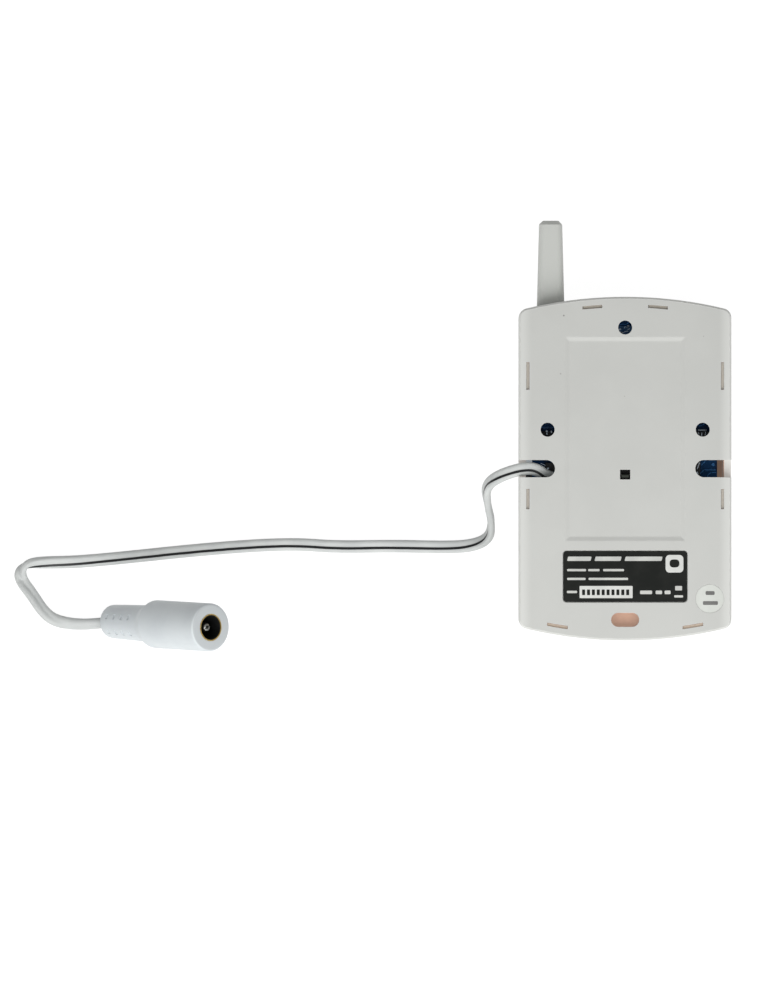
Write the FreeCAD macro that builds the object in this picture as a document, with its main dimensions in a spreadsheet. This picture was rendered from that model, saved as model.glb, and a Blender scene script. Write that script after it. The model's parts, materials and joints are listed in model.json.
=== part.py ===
import FreeCAD, Part
import math
import os
import Sketcher
from FreeCAD import Placement, Rotation, Vector

# Wireless glass break sensor with a stub antenna and a 12 V lead that ends in a round power socket.
# Millimetres. The case lies on its front, so +Z points out of the mounting face, and +Y points along
# the antenna. The origin is below the middle of the case and antenna, on the surface that it lies on.

DRIVING_SIZES = [
    # Case, seen from its mounting face
    ("case_width", 50.0),
    ("case_length", 80.87),
    ("case_depth", 16.5),
    ("end_radius", 100.0),
    ("corner_radius", 2.2),
    ("case_wall", 1.8),
    ("rim_wall", 1.6),
    ("weld", 0.05),
    # Back cover
    ("cover_height", 3.8),
    ("plate_thickness", 1.8),
    ("back_edge_bevel", 0.4),
    ("screw_hole", 3.3),
    ("screw_spacing", 36.5),
    ("side_hole_rise", 9.17),
    ("top_hole_drop", 7.22),
    ("notch_width", 4.07),
    ("notch_reach", 8.5),
    ("slot_width", 0.75),
    ("hook_clearance", 0.075),
    ("hook_drop", 0.6),
    ("side_hook_length", 6.5),
    ("side_hook_rise", 21.8),
    ("low_hook_length", 4.75),
    ("low_hook_drop", 7.15),
    ("top_hook_near", 5.4),
    ("top_hook_far", 10.05),
    ("bottom_hook_near", 13.5),
    ("bottom_hook_far", 18.35),
    ("latch_hole_length", 6.6),
    ("latch_hole_width", 3.3),
    ("latch_hole_rise", 4.85),
    ("panel_width", 28.15),
    ("panel_top_drop", 9.5),
    ("panel_bottom_rise", 23.45),
    ("panel_depth", 0.3),
    ("panel_slope", 72.0),
    ("window_width", 2.4),
    ("window_height", 2.3),
    ("window_drop", 1.4),
    # Labels
    ("label_width", 29.2),
    ("label_height", 12.0),
    ("label_rise", 15.05),
    ("label_corner", 0.8),
    ("label_thickness", 0.2),
    ("label_recess", 0.25),
    ("label_margin", 0.15),
    ("sticker_size", 6.55),
    ("sticker_inset", 5.1),
    ("sticker_rise", 9.85),
    ("sticker_thickness", 0.1),
    ("sticker_recess", 0.12),
    # Front cover
    ("front_thickness", 2.2),
    ("front_round_height", 4.5),
    ("front_round_inset", 5.0),
    ("boss_size", 5.4),
    ("pilot_hole", 2.3),
    ("post_size", 3.6),
    ("tongue_width", 9.0),
    ("tongue_reach", 8.0),
    ("tongue_thickness", 2.2),
    ("sound_slot_length", 4.2),
    ("sound_slot_width", 0.8),
    ("sound_slot_pitch", 1.7),
    # Circuit board
    ("board_side_gap", 1.4),
    ("board_thickness", 1.6),
    ("board_top_gap", 4.6),
    ("board_bottom_gap", 9.5),
    ("board_room", 5.2),
    ("board_notch_width", 11.0),
    ("board_notch_depth", 4.0),
    ("board_screw_inset", 6.6),
    ("board_screw_top_drop", 14.9),
    ("board_screw_low_rise", 13.4),
    ("board_screw_shank", 2.2),
    ("board_screw_floor", 0.2),
    ("board_screw_tip_gap", 0.5),
    ("board_screw_head", 4.4),
    ("board_screw_head_height", 1.5),
    ("seat_gap", 0.05),
    # Antenna
    ("antenna_reach", 18.03),
    ("antenna_inset", 7.53),
    ("antenna_width", 6.7),
    ("antenna_depth", 5.0),
    ("antenna_taper", 1.4),
    ("antenna_edge_radius", 1.8),
    ("antenna_tip_radius", 1.6),
    ("antenna_tip_bevel", 0.9),
    ("antenna_foot_depth", 6.6),
    ("antenna_collar_width", 9.4),
    ("antenna_collar_height", 6.8),
    ("antenna_collar_thickness", 1.4),
    ("antenna_gap", 0.15),
    ("antenna_wire", 1.0),
    ("antenna_bore", 1.3),
    ("antenna_tip_wall", 2.4),
    ("antenna_wire_gap", 0.5),
    ("antenna_wire_overlap", 3.0),
    # Tamper switch
    ("switch_size", 6.0),
    ("switch_height", 3.6),
    ("switch_floor", 0.8),
    ("switch_bevel", 0.4),
    ("plunger_width", 1.8),
    ("plunger_thickness", 1.0),
    ("plunger_gap", 0.15),
    ("plunger_offset", 0.45),
    ("plunger_travel", 0.8),
    ("plunger_sink", 0.3),
    # Microphone and indicator
    ("microphone_inset", 14.6),
    ("microphone_drop", 14.4),
    ("microphone_size", 9.4),
    ("microphone_hole", 5.2),
    ("microphone_hole_depth", 0.3),
    ("boot_floor", 1.3),
    ("boot_wall", 0.9),
    ("boot_mouth", 5.2),
    ("boot_top_gap", 0.4),
    ("led_size", 3.0),
    ("led_gap", 0.9),
    ("led_drop", 9.4),
    ("led_rim", 0.4),
    ("led_rim_height", 0.9),
    ("pipe_size", 3.4),
    ("pipe_sink", 0.15),
    ("pipe_flange", 5.2),
    ("pipe_flange_thickness", 0.6),
    # Parts on the board
    ("chip_length", 11.5),
    ("chip_width", 7.4),
    ("chip_height", 2.2),
    ("chip_x", 8.0),
    ("chip_rise", 14.0),
    ("chip_standoff", 0.15),
    ("amplifier_length", 4.9),
    ("amplifier_width", 3.9),
    ("amplifier_height", 1.5),
    ("amplifier_x", 4.0),
    ("amplifier_drop", 26.4),
    ("lead_pitch", 1.27),
    ("lead_width", 0.4),
    ("lead_reach", 1.1),
    ("crystal_length", 10.2),
    ("crystal_width", 3.7),
    ("crystal_height", 3.4),
    ("crystal_gap", 1.0),
    ("radio_length", 17.0),
    ("radio_width", 10.0),
    ("radio_thickness", 1.0),
    ("radio_standoff", 1.4),
    ("radio_x", 9.0),
    ("radio_drop", 19.4),
    ("radio_pin", 0.6),
    ("radio_pin_inset", 1.0),
    ("resonator_size", 5.0),
    ("resonator_height", 1.4),
    ("resonator_shift_x", 1.0),
    ("resonator_shift_y", 3.0),
    ("capacitor_size", 5.0),
    ("capacitor_gap", 0.5),
    ("capacitor_base", 5.3),
    ("capacitor_base_height", 0.8),
    ("capacitor_bevel", 0.4),
    ("capacitor_x", 8.5),
    ("capacitor_pitch", 7.0),
    ("capacitor_drop", 12.0),
    ("regulator_width", 4.5),
    ("regulator_depth", 2.5),
    ("regulator_height", 1.5),
    ("regulator_x", 8.0),
    ("regulator_drop", 13.0),
    ("regulator_lead", 0.4),
    ("regulator_lead_length", 1.0),
    ("regulator_pitch", 1.5),
    ("header_pin", 0.64),
    ("header_pitch", 2.54),
    ("header_base", 1.5),
    ("header_top", 4.0),
    ("header_inset", 13.0),
    ("header_drop", 14.0),
    ("jumper_wall", 0.4),
    ("jumper_gap", 0.1),
    ("solder_size", 1.1),
    ("solder_height", 0.6),
    # Board connector of the lead
    ("connector_width", 5.4),
    ("connector_depth", 4.4),
    ("connector_height", 3.6),
    ("connector_floor", 0.8),
    ("connector_wall", 0.8),
    ("connector_inset", 13.2),
    ("connector_drop", 2.3),
    ("plug_reach", 1.0),
    ("plug_gap", 0.1),
    ("plug_height", 4.0),
    ("plug_bevel", 0.3),
    ("cord_exit_height", 2.7),
    # Lead
    ("cord_width", 3.0),
    ("cord_thickness", 1.7),
    ("cord_bevel", 0.5),
    ("cord_first_run", 2.6),
    ("cord_last_run", 1.0),
    ("cord_climb_run", 1.3),
    # Power socket
    ("jack_length", 38.2),
    ("jack_tail_length", 14.9),
    ("jack_cone_length", 2.6),
    ("jack_tail_size", 7.9),
    ("jack_neck_size", 8.7),
    ("jack_barrel_size", 11.3),
    ("jack_tail_round", 1.3),
    ("jack_face_bevel", 0.5),
    ("jack_tilt", 51.0),
    ("jack_heading", 2.8),
    ("jack_lift", 0.03),
    ("jack_tail_x", 121.3),
    ("jack_tail_y", 45.06),
    ("socket_bore", 5.6),
    ("socket_depth", 11.0),
    ("liner_wall", 0.15),
    ("ring_wall", 0.2),
    ("ring_proud", 0.05),
    ("socket_base", 3.0),
    ("socket_pin", 2.0),
    ("pin_sink", 1.35),
    ("pin_bevel", 0.4),
]

# Heights and places that several pieces share, as expressions on the sheet
CASE_MIDDLE = "(-Size.antenna_reach / 2)"
CASE_TOP = "((Size.case_length - Size.antenna_reach) / 2)"
CASE_BOTTOM = "(-(Size.case_length + Size.antenna_reach) / 2)"
HALF_WIDTH = "(Size.case_width / 2)"
PARTING = "(Size.case_depth - Size.cover_height)"
PLATE_UNDERSIDE = "(Size.case_depth - Size.plate_thickness)"
BOARD_BACK = f"({PLATE_UNDERSIDE} - Size.board_room)"
BOARD_FRONT = f"({BOARD_BACK} - Size.board_thickness)"
BOARD_HALF = f"({HALF_WIDTH} - Size.case_wall - Size.board_side_gap)"
BOARD_TOP = f"({CASE_TOP} - Size.board_top_gap)"
BOARD_SCREW_X = f"({HALF_WIDTH} - Size.board_screw_inset)"
BOARD_SCREW_DEPTH = f"({BOARD_FRONT} - Size.front_thickness - Size.board_screw_floor)"
ANTENNA_X = f"(Size.antenna_inset - {HALF_WIDTH})"
ANTENNA_AXIS = f"({BOARD_BACK} + Size.antenna_wire / 2)"
SLOT_OUTER = "(Size.case_wall - Size.hook_clearance)"
SLOT_INNER = f"({SLOT_OUTER} + Size.slot_width)"
HOOK_OUTER = "(Size.case_wall - Size.weld)"
HOOK_INNER = f"({SLOT_INNER} - Size.hook_clearance)"
TAMPER_Y = f"({CASE_MIDDLE} - Size.window_drop)"
PLUNGER_Y = f"({TAMPER_Y} - Size.plunger_offset)"
LED_Y = f"({CASE_TOP} - Size.led_drop)"
MICROPHONE_X = f"({HALF_WIDTH} - Size.microphone_inset)"
MICROPHONE_Y = f"({CASE_TOP} - Size.microphone_drop)"
HEADER_X = f"({HALF_WIDTH} - Size.header_inset)"
CONNECTOR_X = f"(Size.connector_inset - {HALF_WIDTH})"
CONNECTOR_Y = f"({CASE_MIDDLE} - Size.connector_drop)"
PLUG_X = f"({CONNECTOR_X} - Size.plug_reach)"

# The rounding of the front, as steps towards the face: share of its height left, share of its inset reached
CROWN_STEPS = [(0.5, 0.1), (0.18, 0.4), (0.0, 1.0)]
SOUND_SLOT_COUNT = 3
CHIP_LEAD_COUNT = 8
AMPLIFIER_LEAD_COUNT = 4
RADIO_PIN_COUNT = 4
HEADER_POST_COUNT = 3
# How much of a run of the lead the arc at each of its ends may take
ARC_SHARE = 0.45
# Solder joints in sight through a side hole and through the top hole, from the hole's middle
SIDE_SOLDER = [(-0.45, -0.75), (0.7, -0.7), (0.1, 0.6)]
TOP_SOLDER = [(0.6, -0.2), (-0.7, -0.4), (-0.1, 1.0)]

doc = FreeCAD.newDocument("glass_break_sensor")
sheet = doc.addObject("Spreadsheet::Sheet", "Size")
for row, (alias, number) in enumerate(DRIVING_SIZES, start=1):
    sheet.set(f"A{row}", alias)
    sheet.set(f"B{row}", str(number))
    sheet.setAlias(f"B{row}", alias)
doc.recompute()

nodes = []


def value(expression):
    """The number that an expression on the sheet gives now."""
    result = sheet.evalExpression(str(expression))
    return float(result.Value if hasattr(result, "Value") else result)


def bind(thing, path, expression):
    thing.setExpression(path, str(expression))


def keep(thing):
    """Marks a finished sub-part, whose label is its node's name."""
    nodes.append(thing)
    return thing


# Sketch helpers

def new_body(name):
    body = doc.addObject("PartDesign::Body", name)
    body.Label = name
    return body


def new_sketch(body, name, height="0", role="XY_Plane"):
    """A sketch on one of the body's own origin planes, lifted to a height."""
    sketch = body.newObject("Sketcher::SketchObject", name)
    plane = next(item for item in body.Origin.OriginFeatures if item.Role == role)
    sketch.AttachmentSupport = [(plane, "")]
    sketch.MapMode = "FlatFace"
    bind(sketch, ".AttachmentOffset.Base.z", height)
    return sketch


def dimension(sketch, kind, *arguments):
    """Adds a dimension whose last argument is an expression, and binds it to that expression."""
    expression = arguments[-1]
    index = sketch.addConstraint(Sketcher.Constraint(kind, *arguments[:-1], value(expression)))
    bind(sketch, f"Constraints[{index}]", expression)


def pin_point(sketch, geometry, point, x, y):
    """Fixes a point at x, y from the sketch's origin."""
    for kind, axis, place in (("DistanceX", -2, x), ("DistanceY", -1, y)):
        if str(place) == "0":
            sketch.addConstraint(Sketcher.Constraint("PointOnObject", geometry, point, axis))
        else:
            dimension(sketch, kind, -1, 1, geometry, point, place)


def line(x_start, y_start, x_end, y_end):
    return Part.LineSegment(Vector(x_start, y_start, 0), Vector(x_end, y_end, 0))


def arc(x, y, radius, start, end):
    circle = Part.Circle(Vector(x, y, 0), Vector(0, 0, 1), radius)
    return Part.ArcOfCircle(circle, start, end)


def add_rectangle(sketch, left, right, low, high):
    x_left, x_right, y_low, y_high = (value(edge) for edge in (left, right, low, high))
    first = sketch.GeometryCount
    corners = [(x_left, y_low), (x_right, y_low), (x_right, y_high), (x_left, y_high)]
    for start, end in zip(corners, corners[1:] + corners[:1]):
        sketch.addGeometry(line(*start, *end), False)
    for side in range(4):
        following = first + (side + 1) % 4
        sketch.addConstraint(Sketcher.Constraint("Coincident", first + side, 2, following, 1))
        direction = "Horizontal" if side % 2 == 0 else "Vertical"
        sketch.addConstraint(Sketcher.Constraint(direction, first + side))
    pin_point(sketch, first, 1, left, low)
    pin_point(sketch, first + 2, 1, right, high)


def add_centred_rectangle(sketch, x, y, width, height):
    add_rectangle(sketch, f"({x}) - ({width}) / 2", f"({x}) + ({width}) / 2",
                  f"({y}) - ({height}) / 2", f"({y}) + ({height}) / 2")


def add_circle(sketch, x, y, diameter):
    circle = Part.Circle(Vector(value(x), value(y), 0), Vector(0, 0, 1), value(diameter) / 2)
    index = sketch.addGeometry(circle, False)
    pin_point(sketch, index, 3, x, y)
    dimension(sketch, "Diameter", index, diameter)


def add_oblong(sketch, left, right, y, width):
    """A slot with half round ends, whose ends reach left and right."""
    radius = value(width) / 2
    x_left, x_right, y_mid = value(left) + radius, value(right) - radius, value(y)
    top = sketch.addGeometry(line(x_right, y_mid + radius, x_left, y_mid + radius), False)
    far = sketch.addGeometry(arc(x_left, y_mid, radius, math.pi / 2, 1.5 * math.pi), False)
    low = sketch.addGeometry(line(x_left, y_mid - radius, x_right, y_mid - radius), False)
    near = sketch.addGeometry(arc(x_right, y_mid, radius, -math.pi / 2, math.pi / 2), False)
    for first, second in ((top, far), (far, low), (low, near), (near, top)):
        sketch.addConstraint(Sketcher.Constraint("Tangent", first, 2, second, 1))
    sketch.addConstraint(Sketcher.Constraint("Horizontal", top))
    dimension(sketch, "Radius", far, f"({width}) / 2")
    pin_point(sketch, far, 3, f"({left}) + ({width}) / 2", y)
    dimension(sketch, "DistanceX", -1, 1, near, 3, f"({right}) - ({width}) / 2")


def add_rounded_rectangle(sketch, x, y, width, height, corner):
    half_x, half_y, radius = value(width) / 2, value(height) / 2, value(corner)
    x_mid, y_mid = value(x), value(y)
    lines, arcs = [], []
    turns = [(1, -1, -0.5), (1, 1, 0.0), (-1, 1, 0.5), (-1, -1, 1.0)]
    ends = []
    for side_x, side_y, start in turns:
        centre = (x_mid + side_x * (half_x - radius), y_mid + side_y * (half_y - radius))
        arcs.append(sketch.addGeometry(arc(*centre, radius, start * math.pi, (start + 0.5) * math.pi)))
        first = Vector(math.cos(start * math.pi), math.sin(start * math.pi)) * radius
        last = Vector(-first.y, first.x)
        ends.append(((centre[0] + first.x, centre[1] + first.y), (centre[0] + last.x, centre[1] + last.y)))
    for index in range(4):
        leave, reach = ends[index][1], ends[(index + 1) % 4][0]
        lines.append(sketch.addGeometry(line(*leave, *reach)))
    for index in range(4):
        sketch.addConstraint(Sketcher.Constraint("Tangent", arcs[index], 2, lines[index], 1))
        sketch.addConstraint(Sketcher.Constraint("Tangent", lines[index], 2, arcs[(index + 1) % 4], 1))
    for index in range(1, 4):
        sketch.addConstraint(Sketcher.Constraint("Equal", arcs[0], arcs[index]))
    sketch.addConstraint(Sketcher.Constraint("Vertical", lines[0]))
    sketch.addConstraint(Sketcher.Constraint("Horizontal", lines[1]))
    dimension(sketch, "Radius", arcs[0], corner)
    pin_point(sketch, arcs[1], 3, f"({x}) + ({width}) / 2 - ({corner})", f"({y}) + ({height}) / 2 - ({corner})")
    pin_point(sketch, arcs[3], 3, f"({x}) - ({width}) / 2 + ({corner})", f"({y}) - ({height}) / 2 + ({corner})")


def add_arched_slot(sketch, near, far, outer_inset, inner_inset, top):
    """A slot that follows the arched end of the case between two distances from the middle."""
    side = 1 if top else -1
    end = CASE_TOP if top else CASE_BOTTOM
    centre = f"({end} - ({side} * Size.end_radius))"
    x_low, x_high = sorted((value(near), value(far)))
    low, high = (near, far) if value(near) < value(far) else (far, near)
    radii = [f"(Size.end_radius - {inset})" for inset in (outer_inset, inner_inset)]
    y_mid = value(centre)
    arcs, ends = [], []
    for radius in radii:
        reach = value(radius)
        angles = [math.atan2(side * math.sqrt(reach ** 2 - x ** 2), x) for x in (x_low, x_high)]
        ends.append([(x, y_mid + side * math.sqrt(reach ** 2 - x ** 2)) for x in (x_low, x_high)])
        start, stop = min(angles), max(angles)
        arcs.append(sketch.addGeometry(arc(0, y_mid, reach, start, stop)))
    left = sketch.addGeometry(line(*ends[0][0], *ends[1][0]))
    right = sketch.addGeometry(line(*ends[0][1], *ends[1][1]))
    left_end, right_end = (2, 1) if top else (1, 2)
    for index, bend in enumerate(arcs):
        sketch.addConstraint(Sketcher.Constraint("Coincident", bend, left_end, left, index + 1))
        sketch.addConstraint(Sketcher.Constraint("Coincident", bend, right_end, right, index + 1))
        dimension(sketch, "Radius", bend, radii[index])
        pin_point(sketch, bend, 3, "0", centre)
    for edge, place in ((left, low), (right, high)):
        sketch.addConstraint(Sketcher.Constraint("Vertical", edge))
        dimension(sketch, "DistanceX", -1, 1, edge, 1, place)


def add_outline(sketch, inset, corner=None):
    """The case's outline moved inwards: straight sides, arched ends and small corners."""
    corner = corner or f"max(Size.corner_radius - ({inset}); 0.5)"
    half = f"({HALF_WIDTH} - ({inset}))"
    bend = f"(Size.end_radius - ({inset}))"
    centres = {1: f"({CASE_TOP} - Size.end_radius)", -1: f"({CASE_BOTTOM} + Size.end_radius)"}
    half_width, radius, reach = value(half), value(corner), value(bend)
    x_corner = half_width - radius
    rise = math.sqrt((reach - radius) ** 2 - x_corner ** 2)
    lean = math.atan2(x_corner, rise)
    middle = {side: value(centres[side]) for side in (1, -1)}
    corner_y = {side: middle[side] + side * rise for side in (1, -1)}
    quarter = math.pi / 2
    pieces = [
        line(half_width, corner_y[-1], half_width, corner_y[1]),
        arc(x_corner, corner_y[1], radius, 0, quarter - lean),
        arc(0, middle[1], reach, quarter - lean, quarter + lean),
        arc(-x_corner, corner_y[1], radius, quarter + lean, 2 * quarter),
        line(-half_width, corner_y[1], -half_width, corner_y[-1]),
        arc(-x_corner, corner_y[-1], radius, 2 * quarter, 3 * quarter - lean),
        arc(0, middle[-1], reach, 3 * quarter - lean, 3 * quarter + lean),
        arc(x_corner, corner_y[-1], radius, 3 * quarter + lean, 4 * quarter),
    ]
    first = sketch.GeometryCount
    for piece in pieces:
        sketch.addGeometry(piece, False)
    for index in range(8):
        following = first + (index + 1) % 8
        sketch.addConstraint(Sketcher.Constraint("Tangent", first + index, 2, following, 1))
    for index in (0, 4):
        sketch.addConstraint(Sketcher.Constraint("Vertical", first + index))
    for index in (3, 5, 7):
        sketch.addConstraint(Sketcher.Constraint("Equal", first + 1, first + index))
    dimension(sketch, "Radius", first + 1, corner)
    for index, side in ((2, 1), (6, -1)):
        dimension(sketch, "Radius", first + index, bend)
        pin_point(sketch, first + index, 3, "0", centres[side])
    dimension(sketch, "DistanceX", -1, 1, first, 1, half)
    dimension(sketch, "DistanceX", first + 4, 1, -1, 1, half)


# Feature helpers

def pad(body, sketch, length, name, reverse=False):
    feature = body.newObject("PartDesign::Pad", name)
    feature.Profile = sketch
    feature.Reversed = reverse
    bind(feature, "Length", length)
    doc.recompute()
    return feature


def pocket(body, sketch, depth, name, reverse=False, taper=None):
    """Cuts downwards from the sketch, or upwards when reversed, and checks that it cut something."""
    before = body.Shape.Volume
    feature = body.newObject("PartDesign::Pocket", name)
    feature.Profile = sketch
    feature.Reversed = reverse
    bind(feature, "Length", depth)
    if taper:
        bind(feature, "TaperAngle", taper)
    doc.recompute()
    if not body.Shape.Volume < before:
        raise RuntimeError(f"{name} cuts nothing")
    return feature


def loft(body, sections, name):
    """A solid with straight flanks through the sections, in their order."""
    doc.recompute()
    feature = body.newObject("PartDesign::AdditiveLoft", name)
    feature.Profile = sections[0]
    feature.Sections = sections[1:]
    feature.Ruled = True
    doc.recompute()
    return feature


def revolve(body, sketch, name):
    feature = body.newObject("PartDesign::Revolution", name)
    feature.Profile = sketch
    feature.ReferenceAxis = (sketch, ["V_Axis"])
    feature.Angle = 360.0
    doc.recompute()
    return feature


def edges_where(shape, test):
    return [f"Edge{number}" for number, edge in enumerate(shape.Edges, start=1) if test(edge)]


def dress(body, kind, base, test, size, name, size_path):
    """A fillet or chamfer on the edges of the last feature that pass a test."""
    feature = body.newObject(f"PartDesign::{kind}", name)
    feature.Base = (base, edges_where(base.Shape, test))
    bind(feature, size_path, size)
    doc.recompute()
    return feature


def at_height(height):
    level = value(height)
    return lambda edge: abs(edge.BoundBox.ZMin - level) < 1e-4 and abs(edge.BoundBox.ZMax - level) < 1e-4


def block(name, x, y, z, width, depth, height):
    """A box that stands on z with its middle over x, y."""
    box = doc.addObject("Part::Box", name)
    for path, expression in (("Length", width), ("Width", depth), ("Height", height),
                             (".Placement.Base.x", f"({x}) - ({width}) / 2"),
                             (".Placement.Base.y", f"({y}) - ({depth}) / 2"),
                             (".Placement.Base.z", z)):
        bind(box, path, expression)
    return box


def fuse(name, shapes):
    fusion = doc.addObject("Part::MultiFuse", name)
    fusion.Shapes = shapes
    return fusion


def cut(name, base, tool):
    result = doc.addObject("Part::Cut", name)
    result.Base = base
    result.Tool = tool
    return result


def group(name, shapes):
    compound = doc.addObject("Part::Compound", name)
    compound.Links = shapes
    return compound


def add_hook_shapes(sketch, outer, inner, spare):
    """The eight snap hooks or their slots, around the edge of the case; spare lengthens each end."""
    bands = [(f"{CASE_MIDDLE} + Size.side_hook_rise", "Size.side_hook_length"),
             (f"{CASE_MIDDLE} - Size.low_hook_drop", "Size.low_hook_length")]
    for side in (-1, 1):
        near_edge = f"({HALF_WIDTH} - {inner})"
        far_edge = f"({HALF_WIDTH} - {outer})"
        left, right = (near_edge, far_edge) if side > 0 else (f"-{far_edge}", f"-{near_edge}")
        for middle, length in bands:
            low = f"({middle} - {length} / 2 - ({spare}))"
            high = f"({middle} + {length} / 2 + ({spare}))"
            add_rectangle(sketch, left, right, low, high)
        for end, top in (("top", True), ("bottom", False)):
            near = f"({side} * (Size.{end}_hook_near - ({spare})))"
            far = f"({side} * (Size.{end}_hook_far + ({spare})))"
            add_arched_slot(sketch, near, far, outer, inner, top)


# Back cover: a shallow tray that snaps over the front cover

def make_back_cover():
    body = new_body("back_cover")
    outline = new_sketch(body, "back_outline", PARTING)
    add_outline(outline, "0")
    shell = pad(body, outline, "Size.cover_height", "back_block")
    dress(body, "Chamfer", shell, at_height("Size.case_depth"), "Size.back_edge_bevel", "back_edge_bevel", "Size")

    inside = new_sketch(body, "back_inside", PARTING)
    add_outline(inside, "Size.rim_wall")
    pocket(body, inside, "Size.cover_height - Size.plate_thickness", "back_hollow", reverse=True)

    panel = new_sketch(body, "panel_outline", "Size.case_depth")
    add_rectangle(panel, "-Size.panel_width / 2", "Size.panel_width / 2",
                  f"{CASE_BOTTOM} + Size.panel_bottom_rise", f"{CASE_TOP} - Size.panel_top_drop")
    pocket(body, panel, "Size.panel_depth", "panel_recess", taper="-Size.panel_slope")

    label = new_sketch(body, "label_seat_outline", "Size.case_depth")
    add_rounded_rectangle(label, "0", f"{CASE_BOTTOM} + Size.label_rise",
                          "(Size.label_width + 2 * Size.label_margin)",
                          "(Size.label_height + 2 * Size.label_margin)",
                          "(Size.label_corner + Size.label_margin)")
    pocket(body, label, "Size.label_recess", "label_seat")

    sticker = new_sketch(body, "sticker_seat_outline", "Size.case_depth")
    add_circle(sticker, f"{HALF_WIDTH} - Size.sticker_inset", f"{CASE_BOTTOM} + Size.sticker_rise",
               "(Size.sticker_size + 2 * Size.label_margin)")
    pocket(body, sticker, "Size.sticker_recess", "sticker_seat")

    holes = new_sketch(body, "screw_hole_outlines", "Size.case_depth")
    for side in (-1, 1):
        add_circle(holes, f"{side} * Size.screw_spacing / 2", f"{CASE_MIDDLE} + Size.side_hole_rise",
                   "Size.screw_hole")
    add_circle(holes, "0", f"{CASE_TOP} - Size.top_hole_drop", "Size.screw_hole")
    pocket(body, holes, "Size.cover_height", "screw_holes")

    notches = new_sketch(body, "notch_outlines", "Size.case_depth")
    past_edge = f"({HALF_WIDTH} + Size.notch_width)"
    inner_end = f"({HALF_WIDTH} - Size.notch_reach)"
    add_oblong(notches, f"-{past_edge}", f"-{inner_end}", CASE_MIDDLE, "Size.notch_width")
    add_oblong(notches, inner_end, past_edge, CASE_MIDDLE, "Size.notch_width")
    pocket(body, notches, "Size.cover_height", "cord_notches")

    slots = new_sketch(body, "hook_slot_outlines", "Size.case_depth")
    add_hook_shapes(slots, SLOT_OUTER, SLOT_INNER, "0")
    pocket(body, slots, "Size.plate_thickness", "hook_slots")

    latch = new_sketch(body, "latch_hole_outline", "Size.case_depth")
    add_oblong(latch, "-Size.latch_hole_length / 2", "Size.latch_hole_length / 2",
               f"{CASE_BOTTOM} + Size.latch_hole_rise", "Size.latch_hole_width")
    pocket(body, latch, "Size.plate_thickness", "latch_hole")

    window = new_sketch(body, "tamper_window_outline", "Size.case_depth")
    add_centred_rectangle(window, "0", TAMPER_Y, "Size.window_width", "Size.window_height")
    pocket(body, window, "Size.plate_thickness", "tamper_window")
    return keep(body)


# Front cover: the deep shell with hooks, bosses, sound port and indicator hole

def make_front_cover():
    body = new_body("front_cover")
    wall = new_sketch(body, "front_wall_outline", "Size.front_round_height")
    add_outline(wall, "0")
    pad(body, wall, f"{PARTING} - Size.front_round_height", "front_wall")

    base = new_sketch(body, "front_base_section", "Size.front_round_height")
    add_outline(base, "0")
    steps = []
    for number, (height, inset) in enumerate(CROWN_STEPS, start=1):
        step = new_sketch(body, f"front_crown_section_{number}", f"Size.front_round_height * {height}")
        add_outline(step, f"Size.front_round_inset * {inset}", "Size.corner_radius")
        steps.append(step)
    loft(body, [base, *steps], "front_crown")

    inside = new_sketch(body, "front_inside", PARTING)
    add_outline(inside, "Size.case_wall")
    pocket(body, inside, f"{PARTING} - Size.front_thickness", "front_hollow")

    bosses = new_sketch(body, "boss_outlines", "Size.front_thickness - Size.weld")
    for x, y in board_screw_places():
        add_circle(bosses, x, y, "Size.boss_size")
    for x, y in board_post_places():
        add_circle(bosses, x, y, "Size.post_size")
    pad(body, bosses, f"{BOARD_FRONT} - Size.front_thickness + Size.weld", "bosses")
    pilots = new_sketch(body, "pilot_outlines", BOARD_FRONT)
    for x, y in board_screw_places():
        add_circle(pilots, x, y, "Size.pilot_hole")
    pocket(body, pilots, BOARD_SCREW_DEPTH, "pilot_holes")

    hooks = new_sketch(body, "hook_outlines", "Size.front_round_height")
    add_hook_shapes(hooks, HOOK_OUTER, HOOK_INNER, "-Size.hook_clearance")
    pad(body, hooks, "Size.case_depth - Size.hook_drop - Size.front_round_height", "hooks")

    tongue = new_sketch(body, "latch_tongue_outline", f"{PARTING} - Size.tongue_thickness - Size.weld")
    add_rectangle(tongue, "-Size.tongue_width / 2", "Size.tongue_width / 2",
                  f"{CASE_BOTTOM} + Size.case_wall / 2", f"{CASE_BOTTOM} + Size.tongue_reach")
    pad(body, tongue, "Size.tongue_thickness", "latch_tongue")

    gate = new_sketch(body, "antenna_gate_outline", PARTING)
    gate_half = "(Size.antenna_width / 2 + Size.antenna_gap)"
    add_rectangle(gate, f"{ANTENNA_X} - {gate_half}", f"{ANTENNA_X} + {gate_half}",
                  f"{CASE_TOP} - Size.antenna_foot_depth + Size.antenna_collar_thickness",
                  f"{CASE_TOP} + Size.case_wall")
    pocket(body, gate, f"{PARTING} - {ANTENNA_AXIS} + Size.antenna_depth / 2 + Size.antenna_gap", "antenna_gate")

    ports = new_sketch(body, "sound_port_outlines", "Size.front_thickness")
    for number in range(SOUND_SLOT_COUNT):
        place = number - (SOUND_SLOT_COUNT - 1) / 2
        add_centred_rectangle(ports, MICROPHONE_X, f"{MICROPHONE_Y} + {place} * Size.sound_slot_pitch",
                              "Size.sound_slot_length", "Size.sound_slot_width")
    add_circle(ports, "0", LED_Y, "(Size.pipe_size + 2 * Size.seat_gap)")
    pocket(body, ports, "Size.front_thickness", "sound_and_light_ports")
    return keep(body)


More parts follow.
